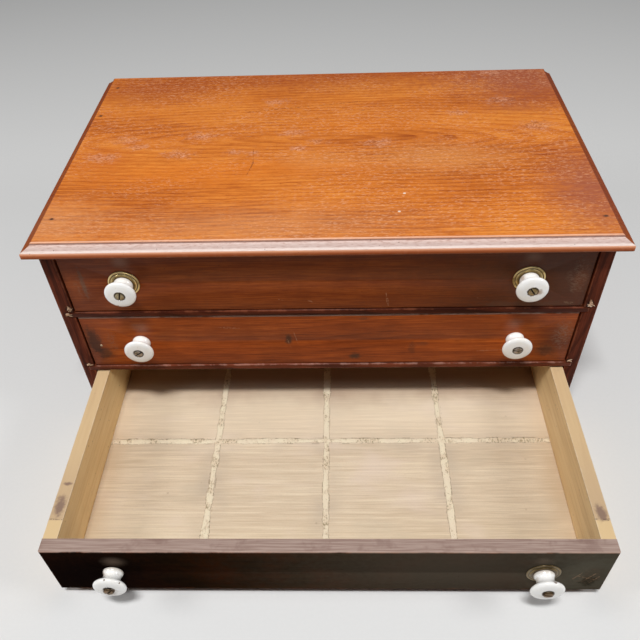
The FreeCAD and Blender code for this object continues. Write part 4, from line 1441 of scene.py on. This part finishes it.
class CABINET_OT_fit_brass(FinishStep, bpy.types.Operator):
    """Fit the slotted screws and the stepped back plates"""

    bl_idname = "cabinet.fit_brass"
    bl_label = "Fit the brass"

    def old_brass(self, name, tint, rough):
        """Brass under a dull skin: the coating, and where its metal shows."""
        f = self.finish
        brass = Coating(name)
        n = brass.n
        cloud, rubs, metal = brass.lay(tarnished)
        brass.colour = n.ramp(cloud, ((0.30, f.tarnish), (0.62, tinted(f.brass, tint))))
        brass.rough = n.math("MULTIPLY_ADD", cloud, -0.22, rough)
        brass.dent(rubs, 0.00004)
        dots, _ = brass.lay(speckle, count=650.0, share=0.3)
        brass.paint(dots, BRASS_SHADES["specks"], 0.7)
        return brass, metal

    def plate_brass(self, number, seats):
        """Plates with ridges painted bright, polish and a painted highlight, and dark in their
        hollows.
        """
        tint, bright = PLATE_LOOKS[number]
        brass, metal = self.old_brass(f"Old plate brass {number}", tint, 0.42)
        n = brass.n
        radius, _ = knob_measures(brass, seats)
        ridges = n.most([
            n.fade(n.gap(radius, ridge * MM), 0.0002, 0.0006) for ridge in PLATE_RIDGES
        ])
        wear_and_highlight = n.step(n.noise(brass.place, scale=60.0, detail=3.0, rough=0.6), 0.34, 0.52)
        hollow = n.fade(n.gap(radius, PLATE_HOLLOW * MM), 0.0002, 0.0007)
        brass.paint(hollow, self.finish.tarnish, 0.85)
        # Bright ridges: polished brass and a painted highlight
        brass.paint(n.times(ridges, wear_and_highlight), BRASS_SHADES["ridge"], bright)
        brass.paint(n.step(radius, 0.0112, 0.0098), BRASS_SHADES["middle"], 0.7)
        return brass.finish(metal=metal)

    def screw_brass(self, number, seats):
        """Screws that are worn bright on the crown and darkened at the bottom of the slot."""
        tint, crown = SCREW_LOOKS[number]
        brass, metal = self.old_brass(f"Dull screw metal {number}", tint, 0.52)
        n = brass.n
        radius, out = knob_measures(brass, seats)
        wear_and_highlight = n.noise(brass.place, scale=260.0, detail=3.0, rough=0.6)
        brass.paint(n.step(wear_and_highlight, 0.42, 0.60), crown, 0.7)
        brass.paint(n.step(radius, 0.0038, 0.0046), BRASS_SHADES["rim"], 0.8)
        floor = (SCREW_SEAT + PROUD.get((number, 1), 0.0) + SLOT_DARK_FLOOR) * MM
        slot = n.times(n.step(out, floor, floor - 0.0002), n.step(radius, 0.0044, 0.0040))
        brass.paint(slot, BRASS_SHADES["slot"], 0.96)
        brass.roughen(slot, 0.4)
        return brass.finish(metal=n.times(metal, n.minus(1.0, slot)))

    def slotted(self, name, seats, number, material):
        """Turns a drawer's two screws and cuts their slots."""
        source = bmesh.new()
        knife = bmesh.new()
        for hand, (x, y, z) in seats.items():
            lift = SCREW_SEAT + PROUD.get((number, hand), 0.0)
            turned(source, SCREW_OUTLINE, (x, y, z), lift, around=40, steps=3)
            blade = bmesh.ops.create_cube(knife, size=1.0)["verts"]
            turn = Matrix.Rotation(math.radians(SCREW_TURNS[number, hand]), 4, "Y")
            size = Matrix.Diagonal((*(side * MM for side in SLOT_BLADE), 1.0))
            place = Matrix.Translation((x, y - (lift + SLOT_MIDDLE) * MM, z))
            bmesh.ops.transform(knife, matrix=place @ turn @ size, verts=blade)
        piece = new_piece(name, source, material, f"drawer_{number}", smooth=False)
        mesh = bpy.data.meshes.new("slot_blade")
        knife.to_mesh(mesh)
        knife.free()
        cutter = bpy.data.objects.new("slot_blade", mesh)
        bpy.context.scene.collection.objects.link(cutter)
        cut = piece.modifiers.new("Slot", "BOOLEAN")
        cut.operation = "DIFFERENCE"
        cut.solver = "EXACT"
        cut.object = cutter
        smooth_curves(piece)
        apply_modifiers(piece)
        bpy.data.objects.remove(cutter)
        if len(piece.data.polygons) < SLOTTED_FACES:
            raise RuntimeError(f"{name}: the slots did not cut")
        return piece

    def execute(self, context):
        for number in DRAWERS:
            seats = knob_seats(number)
            brass = self.screw_brass(number, seats)
            screws = self.slotted(f"slotted_screws_{number}", seats, number, brass)
            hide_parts(f"drawer_{number}_screws")
            if not PLATED[number]:
                continue
            source = bmesh.new()
            for hand in PLATED[number]:
                x, y, z = seats[hand]
                turned(source, PLATE_OUTLINE, (x, y + PLATE_SEAT * MM, z), around=72, steps=3)
            plates = new_piece(
                f"stepped_plates_{number}", source, self.plate_brass(number, seats),
                f"drawer_{number}",
            )
            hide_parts(f"drawer_{number}_plates")
        return {"FINISHED"}


# Nail head: the rings' share of its radius and their height on the top in mm, and its sides
NAIL_RINGS = ((1.0, -0.23), (0.95, -0.01), (0.72, 0.03), (0.35, 0.05))
NAIL_SIDES = 18
RUST_TINT = (3.2, 2.0, 1.4)
# Outline in mm of the pin's head, and its place on the second front
PIN_OUTLINE = (((1.2, -0.3), (1.25, 0.05), (0.9, 0.22), (0.4, 0.3), (0.1, 0.32)),)
PIN_PLACE = (-0.241, FRONT_BOX[2][0].y, 0.124)


class CABINET_OT_drive_nails(FinishStep, bpy.types.Operator):
    """Drive the nails through the top and the pin in the second front"""

    bl_idname = "cabinet.drive_nails"
    bl_label = "Drive the nails"

    def rusted_iron(self):
        f = self.finish
        iron = Coating("Rusted iron")
        n = iron.n
        cloud = n.noise(iron.place, scale=420.0, detail=3.0)
        iron.colour = n.ramp(cloud, ((0.35, f.iron), (0.7, tinted(f.iron, RUST_TINT))))
        iron.rough = n.math("MULTIPLY_ADD", cloud, 0.3, 0.45)
        iron.dent(cloud, 0.0001)
        return iron.finish(metal=n.step(cloud, 0.4, 0.6, 0.8, 0.2))

    def pin_brass(self):
        pin = Coating("Bright pin")
        n = pin.n
        cloud = n.noise(pin.place, scale=900.0)
        pin.colour = n.ramp(cloud, ((0.3, self.finish.tarnish), (0.6, BRASS_SHADES["pin"])))
        pin.rough = n.math("MULTIPLY_ADD", cloud, 0.2, 0.25)
        return pin.finish(metal=n.step(cloud, 0.35, 0.5, 0.5, 1.0))

    def nail_head(self, source, drift, x, y):
        """One low, uneven nail head."""
        turn = drift.uniform(0, math.pi)
        rows = []
        for width, height in NAIL_RINGS:
            middle = Vector((x * MM, y * MM, TOP_HIGH.z + height * MM))
            row = []
            for side in range(NAIL_SIDES):
                angle = 2 * math.pi * side / NAIL_SIDES
                uneven = 1.0 + 0.14 * math.cos(2 * (angle - turn)) + drift.uniform(-0.04, 0.04)
                reach = self.fittings.nail_radius * width * uneven
                row.append(middle + Vector((math.cos(angle), math.sin(angle), 0.0)) * reach)
            rows.append(row)
        closed_tube(source, rows)

    def execute(self, context):
        source = bmesh.new()
        drift = random.Random(7)
        for x, y in TOP_NAILS:
            self.nail_head(source, drift, x, y)
        new_piece("top_nails", source, self.rusted_iron(), "case")
        pin = bmesh.new()
        turned(pin, PIN_OUTLINE, PIN_PLACE, around=20, steps=2)
        new_piece("front_pin", pin, self.pin_brass(), "drawer_2")
        return {"FINISHED"}


# Points across a glue crust, as shares of its half width, and the length of one step along it
CRUST_POINTS = (-1.0, -0.82, -0.4, 0.0, 0.4, 0.82, 1.0)
CRUST_STEP = 1.6 * MM
# How high the underside of a crust lies over the board, and its gap from the boards beside it
CRUST_FOOT = 0.02 * MM
CRUST_GAP = 1.0 * MM
GLUE_SHADES = {
    "scabs": (0.27, 0.21, 0.11), "flecks": (0.20, 0.15, 0.08), "crumbs": (0.38, 0.29, 0.16),
}


class CABINET_OT_lay_glue(FinishStep, bpy.types.Operator):
    """Lay the crusts of old glue along the lost dividers"""

    bl_idname = "cabinet.lay_glue"
    bl_label = "Lay the glue lines"

    def old_glue(self):
        f = self.finish
        shades = GLUE_SHADES
        glue = Coating("Old glue")
        n = glue.n
        cloud = n.noise(glue.place, scale=60.0, detail=4.0, rough=0.65)
        glue.colour = n.ramp(cloud, ((0.36, f.floor_light), (0.58, f.old_glue)))
        lost = n.step(n.noise(glue.place, scale=42.0, detail=4.0, rough=0.7), 0.46, 0.58)
        glue.paint(lost, f.floor_middle, 0.72)
        scabs = n.noise(glue.place, stretch=(520.0, 260.0, 1.0), detail=3.0, rough=0.7)
        glue.paint(n.times(lost, n.step(scabs, 0.50, 0.58)), shades["scabs"], 0.8)
        flecks, _ = glue.lay(speckle, count=260.0, share=0.22)
        glue.paint(flecks, shades["flecks"], 0.75)
        crumbs = n.noise(glue.place, scale=480.0, detail=4.0, rough=0.7)
        glue.paint(n.step(crumbs, 0.58, 0.66), shades["crumbs"], 0.50)
        glue.rough = n.math("MULTIPLY_ADD", crumbs, 0.25, 0.45)
        glue.dent(crumbs, 0.0003)
        return glue.finish()

    def crust(self, source, start, end, width, height, seed):
        """A ragged raised strip between two points on a drawer's bottom."""
        start, end = Vector(start), Vector(end)
        run = end - start
        side = Vector((-run.y, run.x, 0.0)).normalized()
        steps = max(8, int(run.length / CRUST_STEP))
        rows = []
        for step in range(steps + 1):
            middle = start + run * step / steps
            wide = width * (0.86 + 0.42 * noise.noise(middle * 60.0 + Vector((seed, 0, 0))))
            drift = side * 0.0006 * noise.noise(middle * 18.0 + Vector((0, seed, 0)))
            row = []
            for out in CRUST_POINTS:
                torn = noise.noise(middle * 700.0 + Vector((seed, out * 3, 0)))
                lump = noise.noise(middle * 260.0 + Vector((out * 2, seed, 1)))
                rise = height * max(0.0, 1.0 - abs(out) ** 3) * (0.55 + 0.45 * lump)
                across = side * (out * wide * 0.5 * (1.0 + 0.40 * torn)) + drift
                row.append(middle + across + Vector((0.0, 0.0, CRUST_FOOT + rise)))
            rows.append(row)
        closed_tube(source, rows)

    def execute(self, context):
        skin = self.old_glue()
        width = self.fittings.glue_width
        height = self.fittings.glue_height
        for number in DRAWERS:
            level = FLOOR_BOX[number][1].z
            inner = -SIDE_BOX[number][1].x - 0.8 * CRUST_GAP
            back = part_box(f"drawer_{number}_back")[0].y - CRUST_GAP
            front = FRONT_BOX[number][1].y + CRUST_GAP
            source = bmesh.new()
            for index, x in enumerate(DIVIDERS_ACROSS):
                self.crust(source, (x * MM, front, level), (x * MM, back, level), width, height,
                           number * 3.1 + index)
            y = FRONT_BOX[number][0].y + DIVIDER_BACK * MM
            self.crust(source, (-inner, y, level), (inner, y, level), width * 0.9, height * 0.9,
                       number * 5.7)
            piece = new_piece(f"glue_lines_{number}", source, skin, f"drawer_{number}")
        return {"FINISHED"}


# Splinter: places along it with its girth there, and the corners of its section
SLIVER_RINGS = ((0.0, 0.7), (0.35, 1.0), (0.75, 0.6), (1.0, 0.08))
SLIVER_CORNERS = ((-1, 0.0), (-0.6, 0.8), (0.7, 0.9), (1, 0.0))
BROKEN_DARK = (0.26, 0.14, 0.08)
BROKEN_LIGHT = (0.74, 0.56, 0.42)


class CABINET_OT_splinter_rails(FinishStep, bpy.types.Operator):
    """Break pale splinters from the case where the rails are housed"""

    bl_idname = "cabinet.splinter_rails"
    bl_label = "Splinter the rail ends"

    def sliver(self, source, drift, middle, reach, lean):
        """One broken fibre of wood, thick at its root and pointed at its tip."""
        turn = Matrix.Rotation(-math.radians(lean + drift.uniform(-28, 28)), 3, "Y")
        start = Vector((drift.uniform(-0.45, 0.2), 0.0, drift.uniform(-0.3, 0.3))) * reach
        long = reach * drift.uniform(0.45, 1.0)
        wide = drift.uniform(0.35, 0.75)
        rise = drift.uniform(0.25, 0.9)
        rows = []
        for along, girth in SLIVER_RINGS:
            sway = drift.uniform(-0.25, 0.25)
            lift = 0.1 + rise * along
            rows.append([
                middle + (turn @ (start + Vector((
                    long * along, -lift - high * girth * 0.6, (side * girth + sway) * wide
                )))) * MM
                for side, high in SLIVER_CORNERS
            ])
        closed_tube(source, rows)

    def execute(self, context):
        bare = wood(
            "Broken wood", "X", (BROKEN_DARK, self.finish.bare_wood, BROKEN_LIGHT),
            (0.3, 0.6, 0.4), pores=0.4, depth=0.00015, rough=0.75, ring_width=0.0012, wander=0.01,
        )
        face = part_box("case_side_left")[0].y
        drift = random.Random(11)
        source = bmesh.new()
        for (x, z), reach, lean, count in SPLINTERS:
            for _ in range(count):
                self.sliver(source, drift, Vector((x * MM, face, z * MM)), reach, lean)
        piece = new_piece("rail_splinters", source, bare.finish(), "case", smooth=False)
        return {"FINISHED"}


# Half the side of the studio floor, and what the lamps point at
FLOOR_REACH = 6.0
LAMP_AIM = (0.0, -0.1, 0.1)


class CABINET_OT_set_stage(bpy.types.Operator):
    """Set the pale floor, the soft lamps and the camera"""

    bl_idname = "cabinet.set_stage"
    bl_label = "Set the stage"

    def lay_floor(self, context, shade):
        source = bmesh.new()
        bmesh.ops.create_grid(source, x_segments=24, y_segments=24, size=FLOOR_REACH)
        mesh = bpy.data.meshes.new("studio_floor")
        source.to_mesh(mesh)
        source.free()
        floor = bpy.data.objects.new("studio_floor", mesh)
        context.scene.collection.objects.link(floor)
        paper = Coating("Studio paper")
        n = paper.n
        grain = n.noise(paper.place, scale=300.0)
        paper.colour = n.ramp(grain, ((0.3, tinted(shade, (0.985,) * 3)), (0.7, shade)))
        paper.rough = n.math("MULTIPLY_ADD", grain, 0.05, 0.9)
        mesh.materials.append(paper.finish(specular=0.1))

    def hang_lamp(self, context, name, power, size, place):
        data = bpy.data.lights.new(name, "AREA")
        data.shape = "RECTANGLE"
        data.size, data.size_y = size
        data.energy = power
        lamp = bpy.data.objects.new(name, data)
        lamp.location = place
        aim = Vector(LAMP_AIM) - Vector(place)
        lamp.rotation_euler = aim.to_track_quat("-Z", "Y").to_euler()
        context.scene.collection.objects.link(lamp)

    def light_world(self, context, stage):
        """An even light from all sides, and a pale backdrop where the camera looks."""
        world = bpy.data.worlds.new("Studio")
        context.scene.world = world
        world.use_nodes = True
        world.node_tree.nodes.clear()
        n = Nodes(world.node_tree)
        path = n.add("ShaderNodeLightPath").outputs
        even = n.add("ShaderNodeBackground")
        even.inputs["Color"].default_value = (1.0, 1.0, 1.0, 1.0)
        even.inputs["Strength"].default_value = stage.surround
        beyond = n.add("ShaderNodeBackground")
        beyond.inputs["Color"].default_value = (*stage.backdrop, 1.0)
        both = n.add("ShaderNodeMixShader")
        for socket, value in zip(
            both.inputs, (path["Is Camera Ray"], even.outputs[0], beyond.outputs[0])
        ):
            n.put(socket, value)
        out = n.add("ShaderNodeOutputWorld")
        n.put(out.inputs["Surface"], both.outputs[0])

    def place_camera(self, context, stage):
        data = bpy.data.cameras.new("Camera")
        data.lens = stage.camera_lens
        data.sensor_width = 36.0
        data.clip_start = 0.01
        camera = bpy.data.objects.new("Camera", data)
        camera.location = stage.camera_place
        camera.rotation_euler = stage.camera_turn
        context.scene.collection.objects.link(camera)
        context.scene.camera = camera

    def execute(self, context):
        stage = context.scene.cabinet_stage
        self.lay_floor(context, stage.floor)
        self.hang_lamp(context, "Overhead softbox", stage.overhead, (0.8, 0.3), (-0.12, -1.2, 3.2))
        for side, hand in HANDS.items():
            place = (hand * 1.6, -0.55, 1.25)
            self.hang_lamp(context, f"Fill softbox {side}", stage.fill, (0.6, 0.4), place)
        self.light_world(context, stage)
        self.place_camera(context, stage)
        context.scene.view_settings.view_transform = "Standard"
        return {"FINISHED"}


# ---------------------------------------------------------------- panel and main


STEPS = (
    CABINET_OT_set_stage,
    CABINET_OT_polish_top,
    CABINET_OT_polish_case,
    CABINET_OT_polish_fronts,
    CABINET_OT_line_drawers,
    CABINET_OT_dress_carcass,
    CABINET_OT_turn_knobs,
    CABINET_OT_fit_brass,
    CABINET_OT_drive_nails,
    CABINET_OT_lay_glue,
    CABINET_OT_splinter_rails,
)
SETTINGS = {
    "cabinet_finish": CabinetFinish,
    "cabinet_fittings": CabinetFittings,
    "cabinet_stage": CabinetStage,
}


class CABINET_PT_steps(bpy.types.Panel):
    """Every step of the cabinet's finishing, in order"""

    bl_idname = "CABINET_PT_steps"
    bl_label = "Cabinet"
    bl_space_type = "VIEW_3D"
    bl_region_type = "UI"
    bl_category = "Cabinet"

    def draw(self, context):
        for name in SETTINGS:
            box = self.layout.box()
            for entry in getattr(context.scene, name).bl_rna.properties:
                if entry.identifier not in ("rna_type", "name"):
                    box.prop(getattr(context.scene, name), entry.identifier)
        for step in STEPS:
            self.layout.operator(step.bl_idname)


CLASSES = (*SETTINGS.values(), *STEPS, CABINET_PT_steps)


def register():
    for entry in CLASSES:
        bpy.utils.register_class(entry)
    for name, kind in SETTINGS.items():
        setattr(bpy.types.Scene, name, bpy.props.PointerProperty(type=kind))


def unregister():
    for name in SETTINGS:
        delattr(bpy.types.Scene, name)
    for entry in reversed(CLASSES):
        bpy.utils.unregister_class(entry)


def main():
    register()
    for step in STEPS:
        group, name = step.bl_idname.split(".")
        if getattr(getattr(bpy.ops, group), name)() != {"FINISHED"}:
            raise RuntimeError(f"{step.bl_label} did not finish")


if __name__ == "__main__":
    main()
